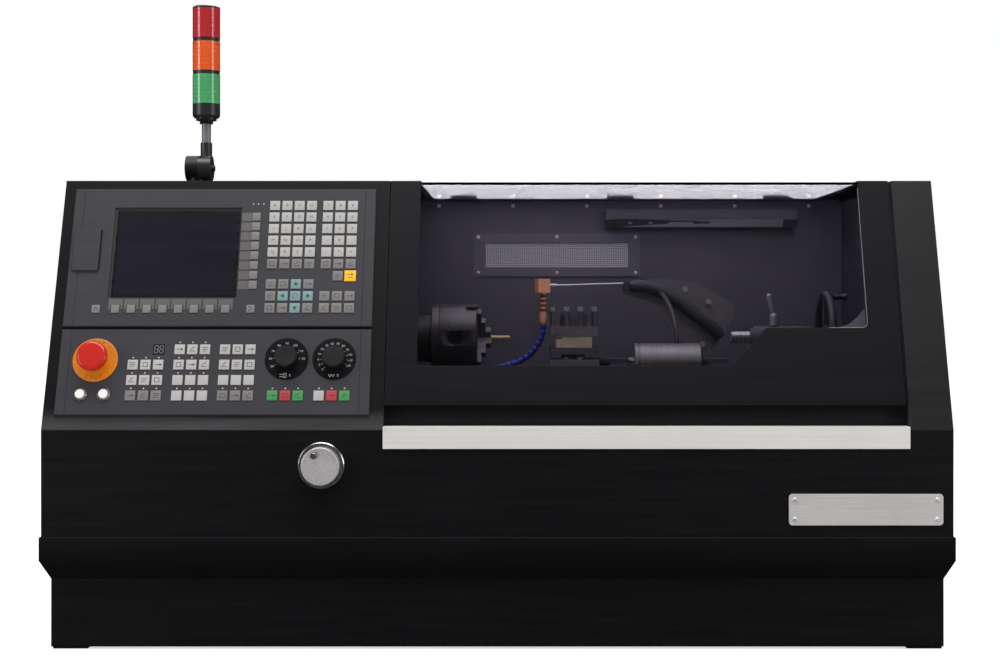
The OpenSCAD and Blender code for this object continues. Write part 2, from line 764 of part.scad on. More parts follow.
module button_rings() color(steel) on_slope() for (x = button_x) translate([x, button_t, 0]) {
    rotate_extrude() polygon([[6.3, face], [8.4, face], [8.4, face + 1.4], [7.6, face + 2.4], [6.3, face + 2.4]]);
    rotate_extrude() polygon([[5.05, -10], [5.9, -10], [5.9, face], [5.05, face]]);
}

module push_button(x) on_slope() translate([x, button_t, face]) rotate_extrude()
    polygon([
        [0, -12], [5, -12], [5, button_stroke + 0.2], [6.2, button_stroke + 0.2],
        [6.2, button_stroke + 1.8], [5.6, button_stroke + 2.4], [0, button_stroke + 2.6]
    ]);
module left_button() color([0.93, 0.93, 0.92]) push_button(button_x[0]);
module right_button() color([0.93, 0.93, 0.92]) push_button(button_x[1]);

module dial_skirts() color(black) on_slope() for (x = dial_x) translate([x, dial_t, face])
    rotate_extrude() polygon([[4.05, 0], [dial_skirt_d / 2, 0], [dial_skirt_d / 2, 0.6],
                              [dial_d / 2 + 3, 1.2], [4.05, 1.2]]);

// Override knob: fluted drum, a plain cap with a pointer ridge, and the shaft.
module dial(x) on_slope() translate([x, dial_t, face]) {
    translate([0, 0, 1.5]) linear_extrude(11.5) difference() {
        circle(d = dial_d);
        for (a = [0:15:345]) rotate(a) translate([dial_d / 2 + 0.7, 0]) circle(d = 2.6);
    }
    translate([0, 0, 12.9]) cylinder(h = 2, d = dial_d - 3);
    translate([0, 0, -12]) cylinder(h = 14, d = 8);
    translate([-0.9, dial_d / 2 - 9, 14.8]) cube([1.8, 6, 0.7]);
}

module spindle_dial() color(dark) dial(dial_x[0]);
module feed_dial() color(dark) dial(dial_x[1]);

// ---- electronic handwheel on the lower panel ----

module at_pulse() {
    translate([pulse_x, front_y, pulse_z]) rotate([90, 0, 0]) children();
}

module pulse_ring() color(steel) at_pulse() rotate_extrude() {
    r = pulse_ring_d / 2;
    polygon([[6.05, -18], [r - 8, -18], [r - 8, 0], [r, 0], [r, 2.5], [r - 2, 4],
             [r - 4.2, 4], [r - 5, 2], [6.05, 2]]);
}

module pulse_wheel() color([0.82, 0.82, 0.84]) at_pulse() difference() {
    r = pulse_wheel_d / 2;
    union() {
        rotate_extrude() polygon([
            [0, -16], [6, -16], [6, 3], [r - 1, 3], [r, 4], [r, 15], [r - 1.5, 16.5],
            [r - 3, 16.5], [r - 4, 15.6], [0, 15.6]
        ]);
    }
    rotate(112) translate([crank_r, 0, 8]) cylinder(h = 12, d = 4.1);
    for (a = [0:10:350]) rotate(a) translate([r + 0.9, 0, 3.5]) cylinder(h = 9, d = 2.4);
}

// Crank knob that turns on its pin in the disc's face.
module crank_knob() color(steel) at_pulse() rotate(112) translate([crank_r, 0, 0])
    rotate_extrude() polygon([
        [0, 9], [2, 9], [2, 15.9], [4.2, 15.9], [3.4, 19], [4.6, pulse_reach - 6],
        [4.6, pulse_reach - 2], [3, pulse_reach], [0, pulse_reach]
    ]);

// ---- lathe: bed and headstock ----

vee_h = 9;                                        // height of the front vee way
screw_y = axis_y + 2;
screw_z = bed_top - 40;
screw_d = 16;
bed_x0 = bay_left + 6;
bed_x1 = bay_right - 13;
fit = 0.05;                                       // radial clearance of a running fit
slip = 0.1;                                       // clearance of a sliding face

// Cast bed: two ways over a channel for the screw, on two hollow pedestals.
module bed() color(dark) {
    y0 = axis_y - bed_w / 2;
    y1 = axis_y + bed_w / 2;
    difference() {
        union() {
            along_x(bed_x0, bed_x1) polygon([
                [y0, bed_top - 120], [y0 + 14, bed_top - 108], [y0 + 14, bed_top - 26], [y0, bed_top - 16],
                [y0, bed_top], [way_y[0] - vee_h, bed_top], [way_y[0], bed_top + vee_h],
                [way_y[0] + vee_h, bed_top], [screw_y - 22, bed_top], [screw_y - 22, screw_z - 22],
                [screw_y + 22, screw_z - 22], [screw_y + 22, bed_top], [y1, bed_top],
                [y1, bed_top - 16], [y1 - 14, bed_top - 26], [y1 - 14, bed_top - 108], [y1, bed_top - 120]
            ]);
            for (x = [bed_x0, bed_x1 - 26])
                block([x, screw_y - 22.5, screw_z - 22.5], [x + 26, screw_y + 22.5, bed_top - 12]);
            for (x = [bed_x0, bed_x1 - 130])
                block([x, y0, tray_z], [x + 130, y1, bed_top - 119]);
        }
        rod_x(bed_x0 - 1, bed_x1 + 1, screw_d + 2 * fit, screw_y, screw_z);
        for (x = [bed_x0 + 12, bed_x1 - 118])
            block([x, y0 - 1, tray_z + 10], [x + 106, y0 + 40, bed_top - 134]);
    }
}

module leadscrew() color(steel) {
    rod_x(bed_x0 + 2, bed_x1 - 2, screw_d, screw_y, screw_z);
    for (x = [bed_x0 + 26.5, bed_x1 - 32.5]) rod_x(x, x + 6, screw_d + 10, screw_y, screw_z);
}

head_x0 = bay_left - 250;
head_x1 = bay_left - 24;
module headstock() color(dark) {
    difference() {
        union() {
            block([head_x0, axis_y - 80, tray_z], [head_x1, axis_y + 80, axis_z - 20]);
            rod_x(head_x0, head_x1, 132, axis_y, axis_z);
            rod_x(head_x0 - 8, head_x1 + 8, 96, axis_y, axis_z);
        }
        rod_x(head_x0 - 20, head_x1 + 20, spindle_d + 2 * fit, axis_y, axis_z);
    }
}

// Spindle with its nose flange and the belt pulley behind the headstock.
module spindle() color(steel) difference() {
    union() {
        rod_x(head_x0 - 60, chuck_x0 - 10, spindle_d, axis_y, axis_z);
        rod_x(chuck_x0 - 20, chuck_x0 - 10, spindle_d + 24, axis_y, axis_z);
        rod_x(head_x0 - 46, head_x0 - 12, spindle_d + 64, axis_y, axis_z);
    }
    rod_x(head_x0 - 70, chuck_x0, bar_d + 18, axis_y, axis_z);
}

// ---- three-jaw chuck ----

jaw_w = 14;
jaw_deep = 17;
jaw_angles = [60, 180, 300];                      // from the front, turning upwards
jaw_steps = [[46, 5.4], [30, 11.9], [14, 19.5]];  // outer radius and length of each step

// Places its children on the chuck's face: Z along the spindle, X out along the jaw.
module at_jaw(a) {
    translate([chuck_x1, axis_y, axis_z]) rotate([0, 90, 0]) rotate(-90 - a) children();
}

module chuck() color(steel) difference() {
    r = chuck_d / 2;
    translate([chuck_x0 - 10, axis_y, axis_z]) rotate([0, 90, 0]) rotate_extrude($fn = 96) {
        l = chuck_x1 - chuck_x0 + 10;
        inner = bar_d / 2 + 5;
        polygon([
            [inner, 0], [r - 12, 0], [r - 12, 10], [r - 1, 10], [r, 11], [r, 20.5],
            [r - 1.5, 21.2], [r - 1.5, 22.3], [r, 23], [r, l - 2], [r - 2, l], [inner, l]
        ]);
    }
    // radial slots with a rib on both sides that guides the jaw
    for (a = jaw_angles) at_jaw(a) difference() {
        translate([0, -jaw_w / 2 - slip, -jaw_deep]) cube([r + 1, jaw_w + 2 * slip, jaw_deep + 1]);
        for (s = [-1, 1]) translate([0, s * (jaw_w / 2 + slip) - 2, -10]) cube([r, 4, 4]);
    }
    // pinion sockets for the chuck key, between the jaws
    for (a = jaw_angles) at_jaw(a + 180) translate([r - 15, 0, -33]) rotate([0, 90, 0])
        cylinder(h = 20, d = 22);
}

// One hardened jaw: a wedge tip on the bar, three steps and grooves for the slot's ribs.
module jaw(a) {
    tip = bar_d / 2 + slip;
    at_jaw(a) difference() {
        union() {
            jaw_slab(tip, chuck_d / 2 - 5, -jaw_deep + slip, jaw_steps[0][1] - 5);
            jaw_slab(tip, jaw_steps[0][0], 0, jaw_steps[0][1]);
            jaw_slab(tip, jaw_steps[1][0], 0, jaw_steps[1][1]);
            jaw_slab(tip, jaw_steps[2][0], 0, jaw_steps[2][1]);
        }
        for (s = [-1, 1])
            translate([0, s * jaw_w / 2 - 2 - slip, -10 - slip]) cube([60, 4 + 2 * slip, 4 + 2 * slip]);
    }
}

// Slab from radius r0 to r1 between two heights, with a 120 degree point that clears its neighbours.
module jaw_slab(r0, r1, z0, z1) {
    w = jaw_w / 2;
    shy = 0.4;
    tip_w = (r0 - shy) * tan(60);
    shoulder = shy + w / tan(60);
    translate([0, 0, z0]) linear_extrude(z1 - z0) polygon(
        tip_w < w
            ? [[r0, -tip_w], [shoulder, -w], [r1, -w], [r1, w], [shoulder, w], [r0, tip_w]]
            : [[r0, -w], [r1, -w], [r1, w], [r0, w]]
    );
}

module jaw_1() color([0.45, 0.45, 0.46]) jaw(jaw_angles[0]);
module jaw_2() color([0.45, 0.45, 0.46]) jaw(jaw_angles[1]);
module jaw_3() color([0.45, 0.45, 0.46]) jaw(jaw_angles[2]);

// Bar in the chuck, its end turned down.
module workpiece() color([0.80, 0.62, 0.35]) {
    tip_x = chuck_x1 + 48;
    translate([chuck_x1 - 30, axis_y, axis_z]) rotate([0, 90, 0]) rotate_extrude()
        polygon([
            [0, 0], [bar_d / 2, 0], [bar_d / 2, 50], [bar_d / 2 - 1.2, 51.2],
            [bar_d / 2 - 1.2, tip_x - chuck_x1 + 29], [bar_d / 2 - 1.8, tip_x - chuck_x1 + 30],
            [0, tip_x - chuck_x1 + 30]
        ]);
}

// ---- carriage ----

saddle_x0 = turret_x - 46;
saddle_x1 = motor_x0 + 144;
saddle_top = slide_top - 31;
slide_w = 46;                                     // width of the dovetail under the cross slide
saddle_y = [axis_y - 72, axis_y + 78];

module dovetail(w, h, grow) {
    polygon([[-w / 2 - grow, -0.01], [w / 2 + grow, -0.01], [w / 2 + 6 + grow, h], [-w / 2 - 6 - grow, h]]);
}

module saddle() color(dark) {
    y0 = saddle_y[0];
    y1 = saddle_y[1];
    difference() {
        union() {
            block([saddle_x0, y0, bed_top], [saddle_x1, y1, saddle_top]);
            // dovetail rail across the saddle
            translate([turret_x, y1, saddle_top]) rotate([90, 0, 0]) linear_extrude(y1 - y0)
                dovetail(slide_w, 9, 0);
            // nut on the screw
            block([saddle_x0 + 20, screw_y - 18, screw_z - 18], [saddle_x0 + 66, screw_y + 18, bed_top + 1]);
            // shelf behind the motor, and the bracket that carries the motor's flange
            block([turret_x + 40, axis_y + 22, saddle_top - 1], [turret_x + 56, axis_y + 50, motor_z + 6]);
            block([turret_x + 40, axis_y + 8, motor_z], [saddle_x1, axis_y + 50, motor_z + 6]);
            block([motor_x0 - 8, axis_y - 60, saddle_top - 1], [motor_x0, axis_y + 8.5, motor_z + 6]);
        }
        // vee groove
        along_x(saddle_x0 - 1, saddle_x1 + 1) polygon([
            [way_y[0] - vee_h - 1 - slip, bed_top - 1], [way_y[0], bed_top + vee_h + slip],
            [way_y[0] + vee_h + 1 + slip, bed_top - 1]
        ]);
        rod_x(saddle_x0, saddle_x0 + 80, screw_d + 2 * fit, screw_y, screw_z);
        rod_x(motor_x0 - 9, motor_x0 + 1, 20.2, axis_y - 28, motor_z);
        rod_x(motor_x0, saddle_x1 + 1, 2 * motor_r + 0.1, axis_y - 28, motor_z);
    }
}

slide_y = [axis_y - 55, axis_y + 75];
module cross_slide() color([0.30, 0.30, 0.31]) {
    difference() {
        block([turret_x - turret_side / 2, slide_y[0], saddle_top + slip],
              [turret_x + turret_side / 2, slide_y[1], slide_top]);
        translate([turret_x, slide_y[1] + 1, saddle_top]) rotate([90, 0, 0])
            linear_extrude(slide_y[1] - slide_y[0] + 2) dovetail(slide_w, 9 + slip, slip);
    }
    // screws of the gib at the front edge
    for (x = [-12.5, 8]) translate([turret_x + x, slide_y[0] + 8, slide_top - 1])
        cylinder(h = 5, d = 8.5);
}

turret_z = slide_top + 7.5;                       // underside of the turret's flange
flange_t = 10;
slot_h = 17;
cap_z = turret_z + flange_t + slot_h;
cap_t = 15;

// Four-way turret: flange, core, top plate, clamp bolts and the locking cap.
module tool_turret() color([0.33, 0.33, 0.34]) {
    s = turret_side;
    translate([turret_x, turret_y, 0]) {
        difference() {
            union() {
                translate([-s / 2, -s / 2, turret_z]) round_plate(s, s, flange_t, 2);
                translate([-s / 2 + 15, -s / 2 + 15, turret_z]) cube([s - 30, s - 30, flange_t + slot_h + 1]);
                translate([-s / 2, -s / 2, cap_z]) round_plate(s, s, cap_t, 2);
                translate([0, 0, cap_z]) cylinder(h = cap_t + 18, d = 40);
                translate([0, 0, slide_top + 0.3]) cylinder(h = 8, d = 36);
            }
            translate([0, 0, cap_z + cap_t + 12]) cylinder(h = 8, d = 22, $fn = 6);
            for (a = [0:3]) rotate(a * 90) turret_bolts() cylinder(h = 60, d = 6.1);
        }
        for (a = [0:3]) rotate(a * 90) turret_bolts() {
            cylinder(h = cap_t + 23, d = 6);
            translate([-3, -3, cap_t + 22.5]) cube([6, 6, 7]);
        }
        // locking screw in the cap's front
        translate([-s / 2 + 10, -s / 2 - 2.5, cap_z + cap_t / 2]) rotate([-90, 0, 0]) difference() {
            cylinder(h = 3.5, d = 10);
            translate([0, 0, -1]) cylinder(h = 3, d = 5, $fn = 6);
        }
    }
}

module turret_bolts() {
    e = turret_side / 2 - 5;
    for (i = [0:2]) translate([-e + i * 2 * e / 3, -e, cap_z]) children();
}

// Square tool shank clamped in the turret's front slot.
module tool_holder() color([0.80, 0.76, 0.66]) {
    x0 = turret_x - 27;
    y0 = turret_y - turret_side / 2 + 1;
    z0 = turret_z + flange_t;
    difference() {
        block([x0, y0, z0], [x0 + 54, y0 + 13, z0 + slot_h - 0.1]);
        block([x0 - 1, y0 - 1, z0 + 12.5], [x0 + 8, y0 + 8, z0 + slot_h]);
    }
}

module turret_motor() color([0.80, 0.80, 0.82]) difference() {
    translate([motor_x0, axis_y - 28, motor_z]) rotate([0, 90, 0]) rotate_extrude() polygon([
        [0, -8], [10, -8], [10, 0], [motor_r, 0], [motor_r, 5], [motor_r - 1.5, 5.5],
        [motor_r - 1.5, 7], [motor_r, 7.5], [motor_r, motor_l - 4], [motor_r - 6, motor_l], [0, motor_l]
    ]);
    // cable entry
    translate([motor_x0 + 64, axis_y - 28, motor_z + motor_r - 6]) cylinder(h = 10, d = 7.1);
}

// ---- coolant line on the carriage ----

block_x = turret_x - 46.5;
block_z = axis_z + 68;
pipe_z = block_z + 10;

// Sheet arm that rises from the saddle, with the black conduit and the motor cable fixed to it.
module coolant_arm() color(dark) {
    x1 = saddle_x1;
    along = arm_y;
    translate([0, along + 4, 0]) rotate([90, 0, 0]) linear_extrude(4) polygon([
        [motor_x0 - 12, pipe_z + 8], [motor_x0 + 54, pipe_z + 13], [x1 - 40, pipe_z + 3],
        [x1 - 25, pipe_z - 4], [x1 + 16, pipe_z - 29], [x1 + 14, pipe_z - 49], [x1 - 24, axis_z - 32], [x1 - 24, saddle_top], [x1 - 70, saddle_top],
        [x1 - 70, axis_z - 12], [motor_x0 + 40, pipe_z - 28], [motor_x0 - 12, pipe_z - 14]
    ]);
    // foot screwed to the saddle
    block([x1 - 70, along + 3, saddle_top], [x1 - 24, along + 22, saddle_top + 3]);
    for (x = [x1 - 60, x1 - 34]) translate([x, along + 13, saddle_top + 2]) cylinder(h = 5, d = 9);
    // clip for the pipe's end
    block([motor_x0 - 12, along - 11, pipe_z - 6], [motor_x0 - 2, along, pipe_z + 7]);
    for (p = [[x1 - 60, pipe_z - 4.5], [x1 - 24.5, pipe_z - 24], [x1 - 34, saddle_top + 52]])
        rod_y(along - 4, along + 1, 8.5, p[0], p[1]);
    tube([
        for (p = [[-3, 0, 6], [4, 0, 9], [18, 0, 9], [34, -3, 9], [52, -11, 9], [74, -24, 9],
                  [98, -42, 9], [122, -61, 9], [136, -73, 9], [140, -77, 5]])
            [motor_x0 + p[0], along - 8, pipe_z + p[1], p[2]]
    ]);
    tube([
        for (i = [0:12]) let (u = i / 12, h = motor_z + motor_r - 5.5)
            [motor_x0 + 64 - 30 * u * u, axis_y - 28 + (along - 8 - axis_y + 28) * u * u * (3 - 2 * u),
             h + (pipe_z - 7 - h) * sin(90 * u), 3.4]
    ], 10);
}

// Distributor block, threaded nipple, steel pipe and the clip that holds the pipe on the arm.
module coolant_line() color([0.80, 0.47, 0.30]) {
    y = arm_y - 6;
    translate([block_x, y, block_z]) rotate(25) translate([-10, -7, 0]) cube([20, 14, 21.5]);
    translate([block_x + 1, y, 0]) rotate_extrude() polygon(concat(
        [[0, block_z + 1]],
        [for (i = [0:8]) each [[5.2, block_z - i * 3.6], [5.2, block_z - 2.2 - i * 3.6],
                               [4.5, block_z - 2.5 - i * 3.6], [4.5, block_z - 3.3 - i * 3.6]]],
        [[5.8, block_z - 33], [5.8, block_z - 46], [4, block_z - 49], [0, block_z - 49]]
    ));
    rod_x(block_x + 8, block_x + 22, 6, y, pipe_z + 1);
    translate([block_x + 20, y, pipe_z + 1]) rotate([0, 88.3, 0])
        cylinder(h = motor_x0 - 11.9 - block_x - 20, d = 3.2);
}

// Segmented hose from the nipple down and round to the left, a string of ball-ended links.
hose_reach = 70;
hose_drop = 64;
links = 11;
function hose_at(u) = [
    block_x + 1 - hose_reach * (1 - cos(u)), arm_y - 6 - u / 11, block_z - 49.05 - hose_drop * sin(u)
];
module coolant_hose() color([0.12, 0.22, 0.75]) {
    step = 90 / links;
    tube([
        for (i = [0:links - 1], s = [[0, 4], [0.12, 5.3], [0.45, 5.4], [0.8, 4.3], [0.92, 3.7]])
            concat(hose_at((i + s[0]) * step), s[1] * (i < links - 1 ? 1 : 0.72))
    ]);
}

// ---- tailstock ----

tail_x1 = tail_x0 + 86;
module tailstock() color(dark) difference() {
    union() {
        block([tail_x0 - 2, axis_y - 70, bed_top], [tail_x1 + 2, axis_y + 60, bed_top + 22]);
        along_x(tail_x0 + 4, tail_x1 - 4) polygon([
            [axis_y - 48, bed_top + 21], [axis_y + 42, bed_top + 21],
            [axis_y + 16.5, axis_z], [axis_y - 16.5, axis_z]
        ]);
        rod_x(tail_x0, tail_x1, 34, axis_y, axis_z);
        rod_x(tail_x0 - 5, tail_x0 + 1, 28, axis_y, axis_z);
        translate([lever_x, axis_y, axis_z]) cylinder(h = 18.5, d = 14);
        // guide key between the ways
        block([tail_x0 + 10, screw_y - 21.5, bed_top - 12], [tail_x1 - 10, screw_y + 21.5, bed_top + 1]);
    }
    along_x(tail_x0 - 10, tail_x1 + 10) polygon([
        [way_y[0] - vee_h - 1 - slip, bed_top - 1], [way_y[0], bed_top + vee_h + slip],
        [way_y[0] + vee_h + 1 + slip, bed_top - 1]
    ]);
    rod_x(tail_x0 - 10, tail_x1 + 10, quill_d + 2 * fit, axis_y, axis_z);
    translate([lever_x, axis_y, axis_z + 14]) cylinder(h = 20, d = 8.1);
}

// Quill with a taper socket in its nose.
module quill() color(steel) translate([quill_x0, axis_y, axis_z]) rotate([0, 90, 0])
    rotate_extrude() polygon([
        [0, 26], [4, 26], [5.5, 0], [quill_d / 2 - 0.8, 0], [quill_d / 2, 0.8],
        [quill_d / 2, 100], [0, 100]
    ]);

// Clamp screw with its lever, leaning to the left.
module quill_lever() color([0.62, 0.63, 0.66]) translate([lever_x, axis_y, axis_z]) {
    translate([0, 0, 14.5]) cylinder(h = 8, d = 8);
    translate([0, 0, 18.8]) cylinder(h = 12, d = 13);
    translate([0, 0, 30.8]) sphere(6.4);
    translate([0, 0, 30.8]) rotate([0, -13, 0]) cylinder(h = 32, d1 = 6.4, d2 = 9);
    translate([0, 0, 30.8]) rotate([0, -13, 0]) translate([0, 0, 32]) sphere(4.5);
}

// Handwheel on the quill's screw, with its crank handle at the top.
module tail_wheel() color([0.35, 0.35, 0.36]) {
    r = tail_wheel_d / 2;
    x = tail_wheel_x;
    difference() {
        union() {
            rod_x(tail_x1 + 0.3, x + 14, 26, axis_y, axis_z);
            translate([x, axis_y, axis_z]) rotate([0, 90, 0]) rotate_extrude($fn = 64)
                translate([r - 6, 6]) circle(6, $fn = 24);
            translate([x + 2, axis_y, axis_z]) rotate([0, 90, 0]) cylinder(h = 8, d = 40);
            for (a = [0, 120, 240]) translate([x + 2, axis_y, axis_z]) rotate([a, 0, 0])
                translate([0, -6, 10]) cube([8, 12, r - 18]);
        }
        rod_x(tail_x1 - 1, x + 9, 10, axis_y, axis_z);
    }
    translate([x + 9, axis_y, axis_z + r - 9]) rotate([0, 90, 0]) rotate_extrude() polygon([
        [0, 0], [3, 0], [3, 5], [6.5, 6], [4, 10], [4, 22], [6.5, 26], [6.5, 28], [0, 28]
    ]);
}

// ---- drawing ----

base_plinth();
chip_tray();
front_panel();
control_housing();
right_column();
rear_wall();
sill_strip();
name_plate();
cover_screws();
vent_frame();
vent_mesh();
lamp_batten();
hood_frame();
hood_window();
hinge_leaves();
hinge_pins();
tower_base();
tower_stem();
red_lens();
amber_lens();
green_lens();
operator_panel();
displays();
media_flap();
cream_keys();
grey_keys();
colour_keys();
machine_panel();
stop_ring();
stop_head();
button_rings();
left_button();
right_button();
dial_skirts();
spindle_dial();
feed_dial();
pulse_ring();
pulse_wheel();
crank_knob();
bed();
headstock();
spindle();
chuck();
jaw_1();
jaw_2();
jaw_3();
workpiece();
saddle();
cross_slide();
tool_turret();
tool_holder();
turret_motor();
coolant_arm();
coolant_line();
coolant_hose();
tailstock();
quill();
quill_lever();
tail_wheel();
leadscrew();
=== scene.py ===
import json
import math

import bmesh
import bpy
from mathutils import Matrix, Vector

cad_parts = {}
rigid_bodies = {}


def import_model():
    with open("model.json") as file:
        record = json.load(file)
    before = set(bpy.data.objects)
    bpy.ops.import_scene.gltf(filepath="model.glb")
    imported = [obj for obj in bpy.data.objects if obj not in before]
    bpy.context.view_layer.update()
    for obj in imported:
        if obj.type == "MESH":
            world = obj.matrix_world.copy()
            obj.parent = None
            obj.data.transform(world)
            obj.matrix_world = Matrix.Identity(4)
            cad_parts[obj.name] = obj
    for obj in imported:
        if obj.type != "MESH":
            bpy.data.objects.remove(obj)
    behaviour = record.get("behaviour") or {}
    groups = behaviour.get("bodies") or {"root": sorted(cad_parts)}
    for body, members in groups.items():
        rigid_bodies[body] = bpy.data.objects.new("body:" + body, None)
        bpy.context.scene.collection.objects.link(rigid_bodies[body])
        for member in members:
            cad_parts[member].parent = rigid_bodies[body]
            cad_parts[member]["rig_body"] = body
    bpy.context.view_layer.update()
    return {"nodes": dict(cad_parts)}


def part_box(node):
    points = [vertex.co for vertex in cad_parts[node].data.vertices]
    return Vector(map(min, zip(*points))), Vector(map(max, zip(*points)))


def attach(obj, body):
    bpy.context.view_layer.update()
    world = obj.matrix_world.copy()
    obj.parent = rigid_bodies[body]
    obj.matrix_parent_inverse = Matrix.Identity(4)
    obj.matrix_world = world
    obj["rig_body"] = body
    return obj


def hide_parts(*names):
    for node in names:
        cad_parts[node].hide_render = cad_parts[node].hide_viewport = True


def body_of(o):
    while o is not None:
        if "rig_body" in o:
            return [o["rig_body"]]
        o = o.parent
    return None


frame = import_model()
nodes = frame["nodes"]

# ---- Studio -------------------------------------------------------------------------------
# The machine stands on a pale floor in a white room. A long lens looks at it level, from a
# little right of its middle. Broad soft lamps hang above, in front and at both sides.

LENS, SENSOR = 58.2, 36.0
EYE = (0.037, -2.384, 0.461)
SHIFT = (-0.025, -0.028)
ROOM_LIGHT = 0.605  # of the white walls, on everything but what is seen in them
SHEET_LIFT = 7.0  # what a clear sheet darkens in the white behind it is given back
LAMPS = [  # place, where it points, width, height, watts
    ((-0.2, -0.75, 2.5), (0.0, -0.1, 0.5), 2.6, 0.9, 45.0),
    ((-2.6, -1.5, 0.9), (0.0, 0.0, 0.4), 0.7, 1.5, 18.0),
    ((2.6, -1.3, 0.9), (0.0, 0.0, 0.4), 0.7, 1.5, 16.0),
    ((0.3, 1.5, 2.3), (0.1, 0.1, 0.5), 2.4, 1.0, 34.0),
]

studio = bpy.context.scene
studio.view_settings.view_transform = "Standard"

camera = bpy.data.objects.new("camera", bpy.data.cameras.new("camera"))
studio.collection.objects.link(camera)
camera.data.lens, camera.data.sensor_width = LENS, SENSOR
camera.data.shift_x, camera.data.shift_y = SHIFT
camera.location = EYE
camera.rotation_euler = (math.pi / 2, 0, 0)
studio.camera = camera

for i, (place, target, width, height, watts) in enumerate(LAMPS):
    lamp = bpy.data.objects.new(f"softbox_{i}", bpy.data.lights.new(f"softbox_{i}", "AREA"))
    studio.collection.objects.link(lamp)
    lamp.data.shape, lamp.data.size, lamp.data.size_y, lamp.data.energy = "RECTANGLE", width, height, watts
    lamp.location = place
    lamp.visible_transmission = False  # its light goes through the clear sheet as through air
    lamp.rotation_euler = (Vector(target) - Vector(place)).to_track_quat("-Z", "Y").to_euler()


def add(tree, kind, inputs=None, **settings):
    """A new shader node with its settings, and with its inputs set or wired."""
    made = tree.nodes.new("ShaderNode" + kind)
    for key, value in settings.items():
        setattr(made, key, value)
    for key, value in (inputs or {}).items():
        if isinstance(value, bpy.types.NodeSocket):
            tree.links.new(value, made.inputs[key])
        else:
            made.inputs[key].default_value = value
    return made


def math_of(tree, operation, a, b, clamp=False):
    return add(tree, "Math", {0: a, 1: b}, operation=operation, use_clamp=clamp).outputs[0]


def rays_of(tree):
    """The light path, 1 before any matt bounce, and 1 for what camera, mirrors or the clear sheet see."""
    path = add(tree, "LightPath").outputs
    first = math_of(tree, "LESS_THAN", path["Diffuse Depth"], 0.5)
    seen = math_of(tree, "ADD", path["Is Camera Ray"], path["Is Glossy Ray"], True)
    return path, first, math_of(tree, "ADD", seen, path["Is Transmission Ray"], True)


def shape(primitive, name=None, **settings):
    """The mesh that one of Blender's primitives makes, with nothing else selected."""
    bpy.ops.object.select_all(action="DESELECT")
    primitive(**settings)
    made = bpy.context.object
    if name:
        made.name = name
    return made


room = bpy.data.worlds.new("white_room")
studio.world = room
room.cycles.sampling_method = "NONE"  # even light, so lamps alone are aimed at
room.use_nodes = True
tree = room.node_tree
tree.nodes.clear()
path, first, seen = rays_of(tree)
seen = math_of(tree, "MULTIPLY", seen, first)
strength = add(tree, "MapRange", {"Value": seen, "To Min": ROOM_LIGHT, "To Max": 1.0}).outputs[0]
straight = math_of(tree, "MULTIPLY", math_of(tree, "LESS_THAN", path["Glossy Depth"], 0.5), first)
through = math_of(tree, "MULTIPLY", path["Is Transmission Ray"], straight)
strength = add(tree, "Math", {0: through, 1: SHEET_LIFT, 2: strength}, operation="MULTIPLY_ADD").outputs[0]
sky = add(tree, "Background", {"Color": (1, 1, 1, 1), "Strength": strength})
tree.links.new(sky.outputs[0], add(tree, "OutputWorld").inputs[0])

floor = shape(bpy.ops.mesh.primitive_plane_add, "studio_floor", size=40, location=(0, 0, -0.0005))
paint = bpy.data.materials.new("floor_paint")
paint.use_nodes = True
tree = paint.node_tree
skin = tree.nodes["Principled BSDF"]
skin.inputs["Base Color"].default_value = (0.8, 0.8, 0.8, 1)
skin.inputs["Roughness"].default_value = 0.7
skin.inputs["Emission Color"].default_value = (1, 1, 1, 1)
tree.links.new(math_of(tree, "MULTIPLY", rays_of(tree)[2], 0.6), skin.inputs["Emission Strength"])
floor.data.materials.append(paint)

# Dark drapes stand round the set and lie on its floor. Only mirrors and the clear sheet see
# them, so that black and bright metal have something dark to mirror below the lamps.
DRAPE_R, DRAPE_H = 5.0, 7.5
cloth = bpy.data.materials.new("drape_cloth")
cloth.use_nodes = True
tree = cloth.node_tree
skin = tree.nodes["Principled BSDF"]
skin.inputs["Base Color"].default_value = (0.01, 0.01, 0.01, 1)
skin.inputs["Specular IOR Level"].default_value = 0.0
path, first = rays_of(tree)[:2]
shown = math_of(tree, "MULTIPLY", math_of(tree, "GREATER_THAN", path["Glossy Depth"], 0.5), first)
both = add(tree, "MixShader", {0: shown, 1: add(tree, "BsdfTransparent").outputs[0], 2: skin.outputs[0]})
tree.links.new(both.outputs[0], tree.nodes["Material Output"].inputs[0])
drape = shape(
    bpy.ops.mesh.primitive_cylinder_add, "dark_drape",
    vertices=32, radius=DRAPE_R, depth=DRAPE_H, end_fill_type="NOTHING", location=(0, 0, DRAPE_H / 2),
)
rug = shape(
    bpy.ops.mesh.primitive_circle_add, "dark_rug",
    vertices=64, radius=DRAPE_R, fill_type="NGON", location=(0, 0, -0.0003),
)
for hanging in (drape, rug):
    hanging.data.materials.append(cloth)
    hanging.visible_camera = hanging.visible_diffuse = hanging.visible_shadow = False
